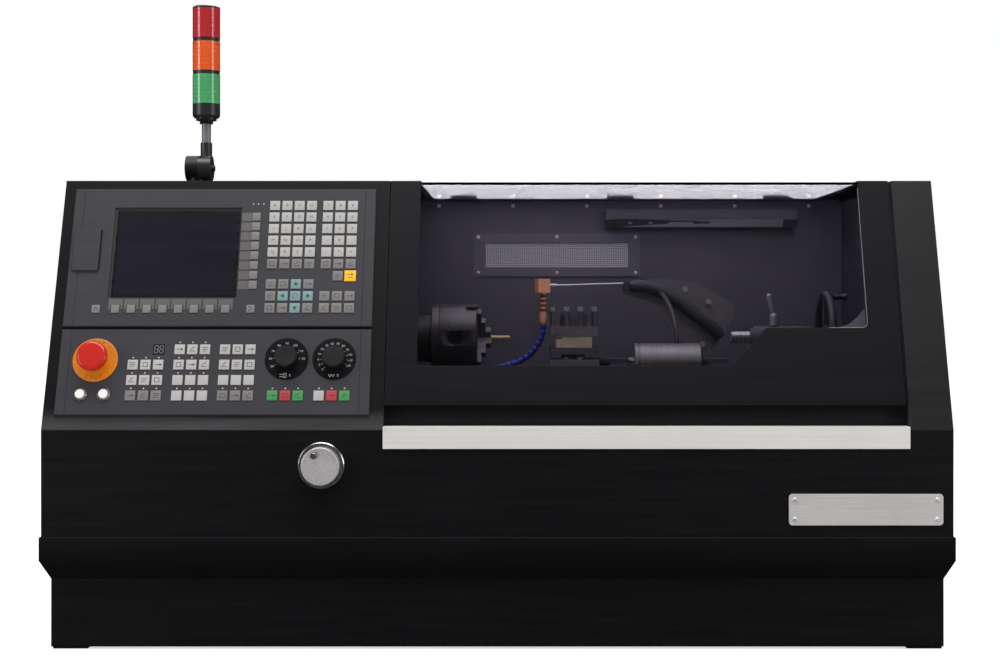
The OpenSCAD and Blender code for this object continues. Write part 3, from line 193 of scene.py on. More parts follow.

# ---- Black sheet metal --------------------------------------------------------------------
# The plinth, tray, front, housings, rear sheet and hood are 1.5 mm steel sheets, folded and
# welded, then powder coated satin black. The coat has a fine orange peel and a little dust.
# On the housing, a lighter band at the slant's foot is a painted highlight.

def new_group(name, ins, outs):
    """A shader group with named inputs and outputs: its tree, its inputs, and a way to finish it."""
    tree = bpy.data.node_groups.new(name, "ShaderNodeTree")
    for label, value in ins.items():
        kind = "NodeSocketColor" if isinstance(value, tuple) else "NodeSocketFloat"
        tree.interface.new_socket(label, in_out="INPUT", socket_type=kind).default_value = value
    for label in outs:
        kind = "NodeSocketColor" if label == "Colour" else "NodeSocketFloat"
        tree.interface.new_socket(label, in_out="OUTPUT", socket_type=kind)
    entry, exit_ = tree.nodes.new("NodeGroupInput"), tree.nodes.new("NodeGroupOutput")
    return tree, entry.outputs, exit_.inputs


def noise(tree, vector, scale, detail=2.0, roughness=0.5):
    made = add(tree, "TexNoise", {"Scale": scale, "Detail": detail, "Roughness": roughness, "Vector": vector})
    return made.outputs["Fac"]


def spread(tree, value, low, high, from_low=0.3, from_high=0.7):
    """Value mapped from a noise's usual range to low .. high."""
    ends = {"From Min": from_low, "From Max": from_high, "To Min": low, "To Max": high}
    return add(tree, "MapRange", {"Value": value, **ends}).outputs[0]


def tint(tree, share, a, b, blend="MIX"):
    made = add(tree, "Mix", {0: share, 6: a, 7: b}, data_type="RGBA", blend_type=blend)
    return made.outputs[2]


COAT = ("Colour", "Roughness", "Height")
DUST_AND_HIGHLIGHT = (0.35, 0.34, 0.36, 1)
HIGHLIGHT_BAND_Z = (0.300, 0.322)  # metres, the slant's foot, where a painted highlight in the dust colour lies
coat_group, given, out = new_group(
    "powder_coat", {"Colour": (0.01, 0.01, 0.01, 1), "Roughness": 0.4, "Peel": 1.0, "Dust": 0.3, "Painted Highlight": 0.0}, COAT
)
place = add(coat_group, "TexCoord").outputs["Object"]
peel = noise(coat_group, place, 700, 1.5)
broad = noise(coat_group, place, 5, 3)
wiped = noise(coat_group, add(coat_group, "Mapping", {"Vector": place, "Scale": (2, 6, 40)}).outputs[0], 3, 4, 0.6)
facing = add(coat_group, "SeparateXYZ", {0: add(coat_group, "NewGeometry").outputs["Normal"]}).outputs[2]
settled = math_of(coat_group, "MULTIPLY", spread(coat_group, facing, 0, 1, 0.3, 1), given["Dust"])
settled = math_of(coat_group, "MULTIPLY", settled, spread(coat_group, noise(coat_group, place, 160, 4, 0.7), 0.1, 1))
height = add(coat_group, "SeparateXYZ", {0: place}).outputs[2]
# Painted highlight: up-facing faces at the slant's foot are lightened towards the dust colour, standing for light
# the lamps don't give there.
low_down, upward = spread(coat_group, height, 1, 0, *HIGHLIGHT_BAND_Z), spread(coat_group, facing, 0, 1, 0.1, 0.3)
painted_highlight = math_of(coat_group, "MULTIPLY", math_of(coat_group, "MULTIPLY", low_down, upward), given["Painted Highlight"])
painted_highlight = math_of(coat_group, "MULTIPLY", painted_highlight, spread(coat_group, wiped, 0.5, 1))
shaded = tint(coat_group, spread(coat_group, broad, 0.0, 0.6), given["Colour"], (0.75, 0.75, 0.75, 1), "MULTIPLY")
dust_and_highlight = math_of(coat_group, "ADD", math_of(coat_group, "MULTIPLY", settled, 0.12), painted_highlight, True)
worn = math_of(coat_group, "ADD", given["Roughness"], spread(coat_group, wiped, -0.05, 0.07))
worn = math_of(coat_group, "ADD", worn, math_of(coat_group, "MULTIPLY", settled, 0.3), True)
coat_group.links.new(tint(coat_group, dust_and_highlight, shaded, DUST_AND_HIGHLIGHT), out["Colour"])
coat_group.links.new(worn, out["Roughness"])
coat_group.links.new(math_of(coat_group, "MULTIPLY", peel, given["Peel"]), out["Height"])


def finish_named(name, group=None, bump=0.0, given=None, **sockets):
    """A Principled material. The group's outputs feed it, and bump is the depth in metres of its Height."""
    made = bpy.data.materials.new(name)
    made.use_nodes = True
    tree = made.node_tree
    skin = tree.nodes["Principled BSDF"]
    for key, value in sockets.items():
        skin.inputs[key.replace("_", " ")].default_value = value
    if group is not None:
        effect = tree.nodes.new("ShaderNodeGroup")
        effect.node_tree = group
        for key, value in (given or {}).items():
            effect.inputs[key].default_value = value
        tree.links.new(effect.outputs["Colour"], skin.inputs["Base Color"])
        tree.links.new(effect.outputs["Roughness"], skin.inputs["Roughness"])
        if bump:
            dent = add(tree, "Bump", {"Height": effect.outputs["Height"], "Distance": bump, "Strength": 1.0})
            tree.links.new(dent.outputs[0], skin.inputs["Normal"])
    return made


def coated(name, colour, rough, bump=0.0, dust=0.3, peel=1.0, painted_highlight=0.0, **sockets):
    """Paint or moulded plastic with a fine peel bump metres deep. Dust lies on its top faces, and painted_highlight
    paints a light band at the slant's foot.
    """
    given = {"Colour": (*colour, 1), "Roughness": rough, "Dust": dust, "Peel": peel, "Painted Highlight": painted_highlight}
    return finish_named(name, coat_group, bump, given, **sockets)


def dress(made, *names):
    """Gives CAD nodes a material on all their slots."""
    for name in names:
        mesh = nodes[name].data
        if not mesh.materials:
            mesh.materials.append(made)
        for i in range(len(mesh.materials)):
            mesh.materials[i] = made


satin_black = coated("satin_black", (0.0028, 0.0016, 0.004), 0.5, bump=0.00006, dust=0.12, Specular_IOR_Level=0.5)
hood_black = coated("hood_black", (0.0021, 0.0011, 0.0034), 0.5, bump=0.00006, dust=0.12, Specular_IOR_Level=0.24)
inner_black = coated("inner_black", (0.078, 0.073, 0.098), 0.5, dust=0.15, Specular_IOR_Level=0.3)
dress(satin_black, "base_plinth", "chip_tray", "front_panel", "rear_wall", "right_column", "tower_base")
# The housing's painted_highlight lightens the slant's foot: a painted highlight.
housing_black = coated(
    "housing_black", (0.0022, 0.0019, 0.003), 0.5, bump=0.00006, dust=0.12, painted_highlight=0.14, Specular_IOR_Level=0.24,
)
dress(housing_black, "control_housing")
dress(hood_black, "hood_frame")

# ---- Sill strip and name plate ------------------------------------------------------------
# A folded stainless strip, ground along its length, guards the edge below the hood. The name
# plate is brushed aluminium and bare, held by four small screws.

metal_ins = {"Colour": (0.6, 0.6, 0.6, 1), "Dark": (0.4, 0.4, 0.4, 1), "Roughness": 0.25, "Stain": 0.3}
metal_ins.update({"Along X": 2.0, "Along Y": 300.0, "Along Z": 300.0})
ground_group, given, out = new_group("ground_metal", metal_ins, COAT)
place = add(ground_group, "TexCoord").outputs["Object"]
stretch = add(ground_group, "CombineXYZ", {0: given["Along X"], 1: given["Along Y"], 2: given["Along Z"]}).outputs[0]
lines = add(ground_group, "Mapping", {"Vector": place, "Scale": stretch}).outputs[0]
fine, coarse = noise(ground_group, lines, 6, 3, 0.6), noise(ground_group, lines, 1.2, 3, 0.6)
cloud = spread(ground_group, noise(ground_group, place, 14, 5, 0.65), 0, 1, 0.45, 0.75)
stain = math_of(ground_group, "MULTIPLY", cloud, given["Stain"])
streak = math_of(ground_group, "MULTIPLY", fine, 0.6)
streak = math_of(ground_group, "ADD", streak, math_of(ground_group, "MULTIPLY", coarse, 0.4))
share = math_of(ground_group, "ADD", spread(ground_group, streak, 0, 1), stain, True)
worn = math_of(ground_group, "ADD", given["Roughness"], spread(ground_group, share, -0.06, 0.14, 0, 1), True)
ground_group.links.new(tint(ground_group, share, given["Colour"], given["Dark"]), out["Colour"])
ground_group.links.new(worn, out["Roughness"])
ground_group.links.new(streak, out["Height"])


def ground(name, light, dark, rough, along, bump=0.00001, stain=0.3, metal=1.0):
    """Metal ground or turned with fine lines: along gives how tight they lie in X, Y and Z."""
    return finish_named(
        name, ground_group, bump,
        {"Colour": (*light, 1), "Dark": (*dark, 1), "Roughness": rough, "Along X": along[0], "Along Y": along[1],
         "Along Z": along[2], "Stain": stain},
        Metallic=metal,
    )


brushed_strip = ground("brushed_strip", (0.95, 0.93, 0.90), (0.78, 0.75, 0.72), 0.38, (1.5, 260, 260), metal=0.35)
brushed_plate = ground("brushed_plate", (0.72, 0.70, 0.69), (0.52, 0.50, 0.49), 0.4, (4, 300, 420), metal=0.35)
screw_metal = ground("bright_screws", (0.80, 0.79, 0.81), (0.55, 0.54, 0.55), 0.25, (90, 90, 90), metal=0.5)
dress(brushed_strip, "sill_strip")
dress(brushed_plate, "name_plate")
dress(screw_metal, "cover_screws")

# ---- Vent and lamp ------------------------------------------------------------------------
# A frame of black painted steel holds fine punched mesh over the rear opening. A pale mat
# behind it paints the light that shows through the vent. An LED batten in a dark channel
# hangs under the hood's rear edge.

MM = 0.001


def finished(piece, made, body, place=None, stands_for=()):
    """Puts a piece's place into its mesh, and gives it a material, a body and the CAD nodes it stands for."""
    bpy.context.view_layer.update()
    piece.data.transform((place or Matrix()) @ piece.matrix_world)
    piece.matrix_world = Matrix()
    piece.data.materials.clear()
    piece.data.materials.append(made)
    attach(piece, body)
    if stands_for:
        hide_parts(*stands_for)
    return piece


def picked(*pieces):
    """Selects these pieces alone, the first of them active."""
    bpy.ops.object.select_all(action="DESELECT")
    for piece in pieces:
        piece.select_set(True)
    bpy.context.view_layer.objects.active = pieces[0]


def worked(piece, kind, **settings):
    """Adds one modifier to a piece and applies it."""
    step = piece.modifiers.new(kind.lower(), kind)
    for key, value in settings.items():
        setattr(step, key, value)
    picked(piece)
    bpy.ops.object.modifier_apply(modifier=step.name)
    return piece


def stretched(piece, size, turned=False):
    """Scales a piece to a size and puts that, and its turn if asked, into its mesh."""
    piece.scale = size
    bpy.ops.object.transform_apply(location=False, rotation=turned, scale=True)
    return piece


def eased(edge, angle, *names, flat=1.0):
    """Copies of CAD nodes with edges over angle rounded by edge mm. Faces within flat degrees are merged."""
    for name in names:
        source = nodes[name]
        piece = bpy.data.objects.new(name + "_skin", source.data.copy())
        studio.collection.objects.link(piece)
        picked(piece)
        bpy.ops.object.mode_set(mode="EDIT")
        bpy.ops.mesh.select_all(action="SELECT")
        bpy.ops.mesh.remove_doubles(threshold=0.00001)
        bpy.ops.mesh.dissolve_limited(angle_limit=math.radians(flat))
        bpy.ops.object.mode_set(mode="OBJECT")
        if edge:
            sharp = {"limit_method": "ANGLE", "angle_limit": math.radians(angle)}
            worked(piece, "BEVEL", width=edge * MM, segments=2, **sharp)
        bpy.ops.object.shade_smooth_by_angle(angle=math.radians(angle))
        worked(piece, "WEIGHTED_NORMAL", keep_sharp=True)
        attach(piece, body_of(source)[0])
        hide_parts(name)


FLAT_ON_REAR = (math.pi / 2, 0, 0)
MESH_PITCH, WIRE, MAT_THICK = 3.0, 1.1, 0.4
mesh_low, mesh_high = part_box("vent_mesh")
middle = (mesh_low + mesh_high) / 2
wide, high = mesh_high.x - mesh_low.x, mesh_high.z - mesh_low.z
vent_paint = coated("vent_paint", (0.10, 0.095, 0.128), 0.45, bump=0.00005, Specular_IOR_Level=0.4)
batten_black = coated("batten_black", (0.06, 0.057, 0.076), 0.4, Specular_IOR_Level=0.3)
mesh_black = coated("mesh_black", (0.21, 0.205, 0.23), 0.45)
painted_backlight = coated("painted_backlight", (0.72, 0.70, 0.75), 0.9, bump=0.00003, peel=3.0)
dress(vent_paint, "vent_frame")
dress(batten_black, "lamp_batten")
lattice = shape(
    bpy.ops.mesh.primitive_grid_add, "punched_mesh",
    x_subdivisions=round(wide / (MESH_PITCH * MM)), y_subdivisions=round(high / (MESH_PITCH * MM)), size=1,
    location=(middle.x, mesh_low.y + 0.3 * MM, middle.z), rotation=FLAT_ON_REAR,
)
worked(stretched(lattice, (wide, high, 1)), "WIREFRAME", thickness=WIRE * MM, offset=0, use_boundary=True)
finished(lattice, mesh_black, "enclosure", None, ("vent_mesh",))
# A pale mat behind the mesh: its grey is painted light, for the light that shows through the vent.
mat = shape(
    bpy.ops.mesh.primitive_grid_add, "backlight_mat", x_subdivisions=60, y_subdivisions=16, size=1,
    location=(middle.x, mesh_high.y - 0.1 * MM, middle.z), rotation=FLAT_ON_REAR,
)
worked(stretched(mat, (wide, high, 1)), "SOLIDIFY", thickness=MAT_THICK * MM, offset=0)
finished(mat, painted_backlight, "enclosure")

# Behind the mat, at the rear, slanted blades in a shallow rim keep dust out.
LOUVRE_PITCH, BLADES, BLADE_TILT = 6.4, 7, math.radians(-38)
RIM, RIM_DEEP = 4.5, 3.5
blade = shape(
    bpy.ops.mesh.primitive_cube_add, "rear_louvre", size=1,
    location=(middle.x, mesh_high.y + 2.6 * MM, mesh_low.z + 1.5 * MM), rotation=(BLADE_TILT, 0, 0),
)
worked(stretched(blade, (wide + 4 * MM, 0.8 * MM, 7.5 * MM), True), "BEVEL", width=0.3 * MM, segments=2)
worked(
    blade, "ARRAY", count=BLADES, use_relative_offset=False, use_constant_offset=True,
    constant_offset_displace=(0, 0, LOUVRE_PITCH * MM),
)
finished(blade, satin_black, "enclosure")
rim = shape(
    bpy.ops.mesh.primitive_plane_add, "rear_rim", size=1,
    location=(middle.x, mesh_high.y + (0.4 + RIM_DEEP / 2) * MM, middle.z), rotation=FLAT_ON_REAR,
)
stretched(rim, (wide + 8 * MM, high + 8 * MM, 1))
cut = bmesh.new()
cut.from_mesh(rim.data)
opening = cut.faces[:]
bmesh.ops.inset_region(cut, faces=opening, thickness=RIM * MM, use_boundary=True, use_even_offset=True)
bmesh.ops.delete(cut, geom=opening, context="FACES_ONLY")
cut.to_mesh(rim.data)
cut.free()
worked(rim, "SOLIDIFY", thickness=RIM_DEEP * MM, offset=0)
worked(rim, "BEVEL", width=0.4 * MM, segments=2)
finished(rim, satin_black, "enclosure")

# ---- Hood window and hinges ---------------------------------------------------------------
# One clear polycarbonate sheet, 4 mm thick, is bent over the hood's front edge and screwed
# under its frame. A pale cord along its cut edge is a painted highlight for the edge's glint.
# Three black butt hinges join hood and rear sheet.


SHADED = 0.7  # share of the lamps' light that passes the sheet


def clear_sheet(name, colour, rough):
    """Clear plastic that lets lamps through."""
    made = finish_named(name, Base_Color=(*colour, 1), Roughness=rough, Transmission_Weight=1.0, IOR=1.5)
    tree = made.node_tree
    shadow = add(tree, "LightPath").outputs["Is Shadow Ray"]
    passed = add(tree, "BsdfTransparent", {"Color": (*[c * SHADED for c in colour], 1)}).outputs[0]
    both = add(tree, "MixShader", {0: shadow, 1: tree.nodes["Principled BSDF"].outputs[0], 2: passed})
    tree.links.new(both.outputs[0], tree.nodes["Material Output"].inputs[0])
    return made


dress(clear_sheet("clear_sheet", (0.90, 0.88, 0.92), 0.02), "hood_window")
LEAN = math.radians(19.5)
strip_low, strip_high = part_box("sill_strip")
FRONT, BEND = strip_low.y + 1.5 * MM, strip_high.z - 4.5 * MM
FACE = 3.0  # a panel's face, mm out from the slanted front
SLOPE = Matrix((
    (1, 0, 0, 0),
    (0, math.sin(LEAN), -math.cos(LEAN), FRONT),
    (0, math.cos(LEAN), math.sin(LEAN), BEND),
    (0, 0, 0, 1),
))
SHEET_EDGE = [(505.0, 352.0), (505.0, 153.0), (504.0, 148.5), (501.5, 146.0), (497.0, 144.9), (452.0, 144.9)]
GUSSET = [(466.0, 145.6), (503.6, 145.6), (503.6, 175.0), (494.0, 163.0), (482.0, 152.5)]


def on_front(x, t, h):
    """A point in metres, t mm up the slanted front from its bend and h mm out from it."""
    return SLOPE @ Vector((x * MM, t * MM, h * MM))


def run_of(name, points, radius, sides=2):
    """A round cord through points in metres, as a mesh."""
    path = bpy.data.curves.new(name, "CURVE")
    path.dimensions, path.bevel_depth, path.bevel_resolution, path.use_fill_caps = "3D", radius * MM, sides, True
    line = path.splines.new("POLY")
    line.points.add(len(points) - 1)
    for spot, at in zip(line.points, points):
        spot.co = (*at, 1)
    cord = bpy.data.objects.new(name, path)
    studio.collection.objects.link(cord)
    picked(cord)
    bpy.ops.object.convert(target="MESH")
    bpy.ops.object.shade_smooth_by_angle(angle=math.radians(50))
    return bpy.context.object


# A pale cord along the sheet's cut edge: a painted highlight for the edge's glint.
edge_glint = coated("edge_glint", (0.26, 0.25, 0.27), 0.2, dust=0.0, Coat_Weight=0.5)
finished(run_of("sheet_edge_glint", [on_front(x, t, -1.6) for x, t in SHEET_EDGE], 0.45), edge_glint, "hood")
plate = bpy.data.objects.new("corner_gusset", bpy.data.meshes.new("corner_gusset"))
plate.data.from_pydata([on_front(x, t, -7.5) for x, t in GUSSET], [], [range(len(GUSSET))])
studio.collection.objects.link(plate)
worked(plate, "SOLIDIFY", thickness=1.2 * MM, offset=0)
worked(plate, "BEVEL", width=0.3 * MM, segments=2)
bare = ground("bare_aluminium", (0.17, 0.165, 0.18), (0.11, 0.105, 0.118), 0.45, (30, 30, 200), 0.0, metal=0.6)
finished(plate, bare, "hood")
wall_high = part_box("rear_wall")[1]
SEAL_X, SEAL_R = (-150.0, 200.0, 549.0), 0.9
seal_line = [(x * MM, wall_high.y - 8 * MM, wall_high.z + SEAL_R * MM) for x in SEAL_X]
seal = run_of("rear_seal", seal_line, SEAL_R, 3)
finished(seal, coated("seal_rubber", (0.012, 0.012, 0.013), 0.7, bump=0.00002), "enclosure")
dress(coated("hinge_black", (0.012, 0.012, 0.014), 0.35, bump=0.00003), "hinge_leaves", "hinge_pins")

# ---- Tower light --------------------------------------------------------------------------
# A black moulded foot and fold joint carry a satin pole and three stacked lenses of coloured
# polycarbonate, ribbed inside and held by dark rings.

dress(coated("tower_black", (0.022, 0.022, 0.026), 0.33, bump=0.00003), "tower_stem")
LENSES = {"red_lens": (0.40, 0.022, 0.03), "amber_lens": (0.66, 0.095, 0.02), "green_lens": (0.07, 0.33, 0.13)}
milky = {"Subsurface_Weight": 0.35, "Subsurface_Scale": 0.02}
for name, colour in LENSES.items():
    lens = finish_named(
        name, Base_Color=(*colour, 1), Roughness=0.18, Coat_Weight=0.5, Coat_Roughness=0.05, **milky,
    )
    dress(lens, name)
red_low, red_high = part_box("red_lens")
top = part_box("control_housing")[1].z
POLE_R, POLE_L, POLE_UP = 6.8, 28, 78
pole = shape(
    bpy.ops.mesh.primitive_cylinder_add, "pole_tube",
    vertices=48, radius=POLE_R * MM, depth=POLE_L * MM, end_fill_type="NOTHING",
    location=((red_low.x + red_high.x) / 2, (red_low.y + red_high.y) / 2, top + POLE_UP * MM),
)
worked(pole, "SOLIDIFY", thickness=0.4 * MM, offset=-1)
bpy.ops.object.shade_smooth_by_angle(angle=math.radians(35))
pole_satin = ground("pole_satin", (0.28, 0.275, 0.31), (0.20, 0.195, 0.22), 0.45, (8, 8, 300), metal=0.5)
finished(pole, pole_satin, "tower")

# ---- Front slope and panel films ----------------------------------------------------------
# Both panels are die-cast frames screwed to the slanted front of the control housing. A matt
# dark film with printed light-grey fields is glued over each of them.

def joined(name, pieces):
    """One named piece from several."""
    picked(*pieces)
    bpy.ops.object.join()
    pieces[0].name = pieces[0].data.name = name
    return pieces[0]


def set_out(first, places):
    """The piece, and copies of it with meshes of their own, one at each place in millimetres."""
    pieces = [first]
    for place in places[1:]:
        other = first.copy()
        other.data = first.data.copy()
        studio.collection.objects.link(other)
        pieces.append(other)
    for piece, place in zip(pieces, places):
        piece.location = [v * MM for v in place]
    return pieces


PRINT = 0.04  # mm, thickness of printed marks


def raised(made, thick):
    """A flat outline drawn out to thick mm."""
    bpy.ops.object.mode_set(mode="EDIT")
    bpy.ops.mesh.extrude_region_move(TRANSFORM_OT_translate={"value": (0, 0, thick * MM)})
    bpy.ops.object.mode_set(mode="OBJECT")
    return made


def bar(x, t, w, l, h=FACE, turn=0.0):
    """A printed bar w by l, centred on x and t of a flat face at height h."""
    spot = {"location": (x * MM, t * MM, h * MM), "rotation": (0, 0, turn)}
    made = shape(bpy.ops.mesh.primitive_plane_add, size=1, **spot)
    made.scale = (w * MM, l * MM, 1)
    return raised(made, PRINT)


def disc(x, t, radius, h=FACE, sides=16, turn=0.0, thick=PRINT):
    """A printed disc, or a triangle with sides=3."""
    spot = {"location": (x * MM, t * MM, h * MM), "rotation": (0, 0, turn)}
    made = shape(bpy.ops.mesh.primitive_circle_add, vertices=sides, radius=radius * MM, fill_type="NGON", **spot)
    return raised(made, thick)


def mark(words, x, t, size, h=FACE, turn=0.0):
    """Printed figures, centred on x and t."""
    bpy.ops.object.select_all(action="DESELECT")
    bpy.ops.object.text_add(location=(x * MM, t * MM, h * MM), rotation=(0, 0, turn))
    made = bpy.context.object
    made.data.body, made.data.size = words, size * MM
    made.data.align_x = made.data.align_y = "CENTER"
    made.data.extrude, made.data.resolution_u = 0.03 * MM, 2
    bpy.ops.object.convert(target="MESH")
    return bpy.context.object


panel_film = coated("panel_film", (0.037, 0.036, 0.043), 0.5, bump=0.00003, dust=0.1, Specular_IOR_Level=0.35)
dress(panel_film, "operator_panel", "machine_panel", "media_flap")
field_grey = coated("field_grey", (0.105, 0.095, 0.10), 0.5, bump=0.00001, dust=0.05)

SOFT_KEYS, SOFT_X, SOFT_T, SOFT_PITCH = 8, -523.5, 170.3, 21.5  # the row below the screen
SIDE_X, SIDE_T, SOFT_ROW = -337.5, 205.3, 14.45  # the column beside it
CELL_X = -350.8
tabs = []
for i in range(SOFT_KEYS):
    x = SOFT_X + i * SOFT_PITCH
    tabs += [bar(x, 180.7, 19.5, 8.6), bar(x - 8.4, 173.4, 2.7, 6), bar(x + 8.4, 173.4, 2.7, 6)]
cells = set_out(bar(0, 0, 14.4, 12.2), [(CELL_X, SIDE_T + j * SOFT_ROW, FACE) for j in range(SOFT_KEYS)])
finished(joined("softkey_fields", tabs + cells), field_grey, "enclosure", SLOPE)

# ---- Screen -------------------------------------------------------------------------------
# Dark glass lies in a stepped frame of the panel, with a black border behind its edge. The
# two small digits on the lower panel are unlit bars behind their own glass.

glass = coated("screen_glass", (0.014, 0.0135, 0.0195), 0.16, dust=0.1)
border_black = coated("border_black", (0.004, 0.004, 0.005), 0.3)
bar_grey = coated("bar_grey", (0.17, 0.17, 0.19), 0.4)
dress(glass, "displays")
SCREEN_X, SCREEN_T, SCREEN_W, SCREEN_H, BORDER = -446, 252.5, 171, 121, 3.4
border = [bar(SCREEN_X, t, SCREEN_W, BORDER, FACE - 1.19) for t in (190.2, 314.8)]
border += [bar(x, SCREEN_T, BORDER, SCREEN_H, FACE - 1.19) for x in (-529.8, -362.2)]
finished(joined("screen_border", border), border_black, "enclosure", SLOPE)

DIGIT_X, DIGIT_T, DIGIT_STEP, DIGIT_H, SLANT = (-462.6, -455.6), 107.2, 5.1, FACE + 0.31, 0.07
digits = []
for x in DIGIT_X:
    for k in range(3):
        lean = (k - 1) * DIGIT_STEP * SLANT
        digits.append(bar(x + lean, DIGIT_T + k * DIGIT_STEP, 3.9, 1.0, DIGIT_H))
    for side in (-2.3, 2.3):
        for k in (0.5, 1.5):
            lean = (k - 1) * DIGIT_STEP * SLANT
            digits.append(bar(x + side + lean, DIGIT_T + k * DIGIT_STEP, 1.0, 3.9, DIGIT_H, -SLANT))
finished(joined("digit_bars", digits), bar_grey, "enclosure", SLOPE)

# ---- Keys ---------------------------------------------------------------------------------
# Each key is a small moulded cap with rounded edges. Letters and figures are on the entry
# keys, the cursor cross is pale teal, and the start and stop keys are green and red.

SIDE, PITCH, ROW, RISE = 14.0, 17.2, 17.45, 1.2
KEY_X, NUMBER_X, TOP_T, CURSOR_T = -312.5, -238.1, 323.5, 206.5
MODE_X, MODE_T, MODE_ROW, MODE_GAP = -493.0, 47.0, 21.7, 62.0
START_X = (-302.5, -240.0)


def key_cap(width=SIDE, height=SIDE):
    """A moulded cap with rounded edges."""
    cap = stretched(shape(bpy.ops.mesh.primitive_cube_add, size=1), (width * MM, height * MM, RISE * MM))
    cap.data.transform(Matrix.Translation((0, 0, RISE * MM / 2)))
    worked(cap, "BEVEL", width=0.55 * MM, segments=3, limit_method="ANGLE")
    bpy.ops.object.shade_smooth_by_angle(angle=math.radians(35))
    return cap


def rows_of(x, t, columns, rows, down):
    return [(x + i * PITCH, t - j * down) for j in range(rows) for i in range(columns)]


def key_set(name, made, places, stands_for=(), width=SIDE, height=SIDE):
    caps = set_out(key_cap(width, height), [(x, t, FACE) for x, t in places])
    return finished(joined(name, caps), made, "enclosure", SLOPE, stands_for)


def key_plastic(name, colour):
    return coated(name, colour, 0.48, bump=0.00001, dust=0.1, peel=0.6)


letters = rows_of(KEY_X, TOP_T, 4, 5, ROW)
numbers = rows_of(NUMBER_X, TOP_T, 3, 5, ROW)
left_modes = rows_of(MODE_X, MODE_T + 2 * MODE_ROW, 3, 2, MODE_ROW)
mid_modes = rows_of(MODE_X + MODE_GAP, MODE_T + 3 * MODE_ROW, 3, 4, MODE_ROW)
right_modes = rows_of(MODE_X + 2 * MODE_GAP - 0.5, MODE_T + 3 * MODE_ROW, 3, 3, MODE_ROW)
grey = rows_of(KEY_X, TOP_T - 5 * ROW, 4, 1, ROW) + rows_of(NUMBER_X, TOP_T - 5 * ROW, 3, 1, ROW)
grey += [(NUMBER_X + PITCH, CURSOR_T + 12), (KEY_X + PITCH, CURSOR_T), (KEY_X + PITCH, CURSOR_T - 2 * ROW)]
grey += [(KEY_X + i * PITCH, CURSOR_T - j * ROW) for i in (0, 3) for j in range(3) if (i, j) != (3, 1)]
grey += rows_of(NUMBER_X, CURSOR_T - ROW, 3, 2, ROW)
dark_modes = rows_of(MODE_X, MODE_T, 3, 1, ROW) + rows_of(MODE_X + 2 * MODE_GAP - 0.5, MODE_T, 3, 1, ROW)
cross = [(KEY_X + 2 * PITCH, CURSOR_T), (KEY_X + PITCH, CURSOR_T - ROW), (KEY_X + 2 * PITCH, CURSOR_T - ROW)]
cross += [(KEY_X + 3 * PITCH, CURSOR_T - ROW), (KEY_X + 2 * PITCH, CURSOR_T - 2 * ROW)]
greens = [(START_X[0], MODE_T), (START_X[0] + 2 * PITCH, MODE_T), (START_X[1] + 2 * PITCH, MODE_T)]
reds = [(START_X[0] + PITCH, MODE_T), (START_X[1] + PITCH, MODE_T)]
BACK_X, NEXT_X = -550.0, -338.5  # at the two ends of the row below the screen
soft_low = [(SOFT_X + i * SOFT_PITCH, SOFT_T) for i in range(SOFT_KEYS)] + [(BACK_X, SOFT_T), (NEXT_X, SOFT_T)]
soft_side = [(SIDE_X, SIDE_T + j * SOFT_ROW) for j in range(SOFT_KEYS)]

cream = key_plastic("cream_caps", (0.40, 0.385, 0.375))
stone = key_plastic("grey_caps", (0.175, 0.162, 0.162))
all_modes = left_modes + mid_modes + right_modes
YELLOW = (NUMBER_X + 2 * PITCH, CURSOR_T + 12)
key_set("cream_caps", cream, letters + numbers + all_modes + [(START_X[1], MODE_T)], ("cream_keys",))
key_set("grey_caps", stone, grey + dark_modes, ("grey_keys",))
key_set("soft_caps_low", stone, soft_low, (), 11.4, 11.4)
key_set("soft_caps_side", stone, soft_side, (), 11.4, 12.0)
key_set("teal_caps", key_plastic("teal_caps", (0.165, 0.275, 0.28)), cross, ("colour_keys",))
key_set("yellow_cap", key_plastic("yellow_cap", (0.85, 0.46, 0.005)), [YELLOW], (), 16, 16)
key_set("green_caps", key_plastic("green_caps", (0.045, 0.27, 0.075)), greens)
key_set("red_caps", key_plastic("red_caps", (0.42, 0.03, 0.042)), reds)

ink = coated("key_ink", (0.045, 0.045, 0.05), 0.5, dust=0.0)
CAP = FACE + RISE - 0.005
SIGN, LINE, TIP = 6.2, 0.9, 2.2  # a figure's height, a line's width, an arrow's head


def bars(*rows, h=CAP):
    """Printed bars, each given as x, t, width, length and, if it is turned, its angle."""
    return [bar(*row[:4], h, *row[4:]) for row in rows]


def arrow_head(x, t):
    return disc(x, t, TIP, CAP, 3, -math.pi / 2)


inked = []
for sign, (x, t) in zip("ABCDEFGHIJKLMNOPQRST", letters):
    inked.append(mark(sign, x, t, SIGN, CAP))
for sign, (x, t) in zip("789456123-0./*+", numbers):
    inked.append(mark(sign, x, t, SIGN, CAP))
for n, (x, t) in enumerate(grey + dark_modes + left_modes + mid_modes[:6] + right_modes[:6] + greens + reds):
    kind = n % 4
    if kind == 0:
        inked += bars((x, t + 3, 7, 0.8), (x, t - 3, 7, 0.8), (x - 3.1, t, 0.8, 5.2), (x + 3.1, t, 0.8, 5.2))
    elif kind == 1:
        inked += bars((x - 1, t, 6, LINE)) + [arrow_head(x + 3, t)]
    elif kind == 2:
        inked += bars((x, t + 1.4, 7.5, LINE, 0.7), (x, t - 2.6, 7.5, LINE))
    else:
        inked += bars((x, t + 2.5, 7.5, 0.8), (x, t, 7.5, 0.8), (x - 1, t - 2.5, 5.5, 0.8))
for (x, t), turn in zip((cross[0], cross[1], cross[3], cross[4]), (0, math.pi / 2, -math.pi / 2, math.pi)):
    inked.append(disc(x, t, 3.6, CAP, 3, turn))
x, t = cross[2]
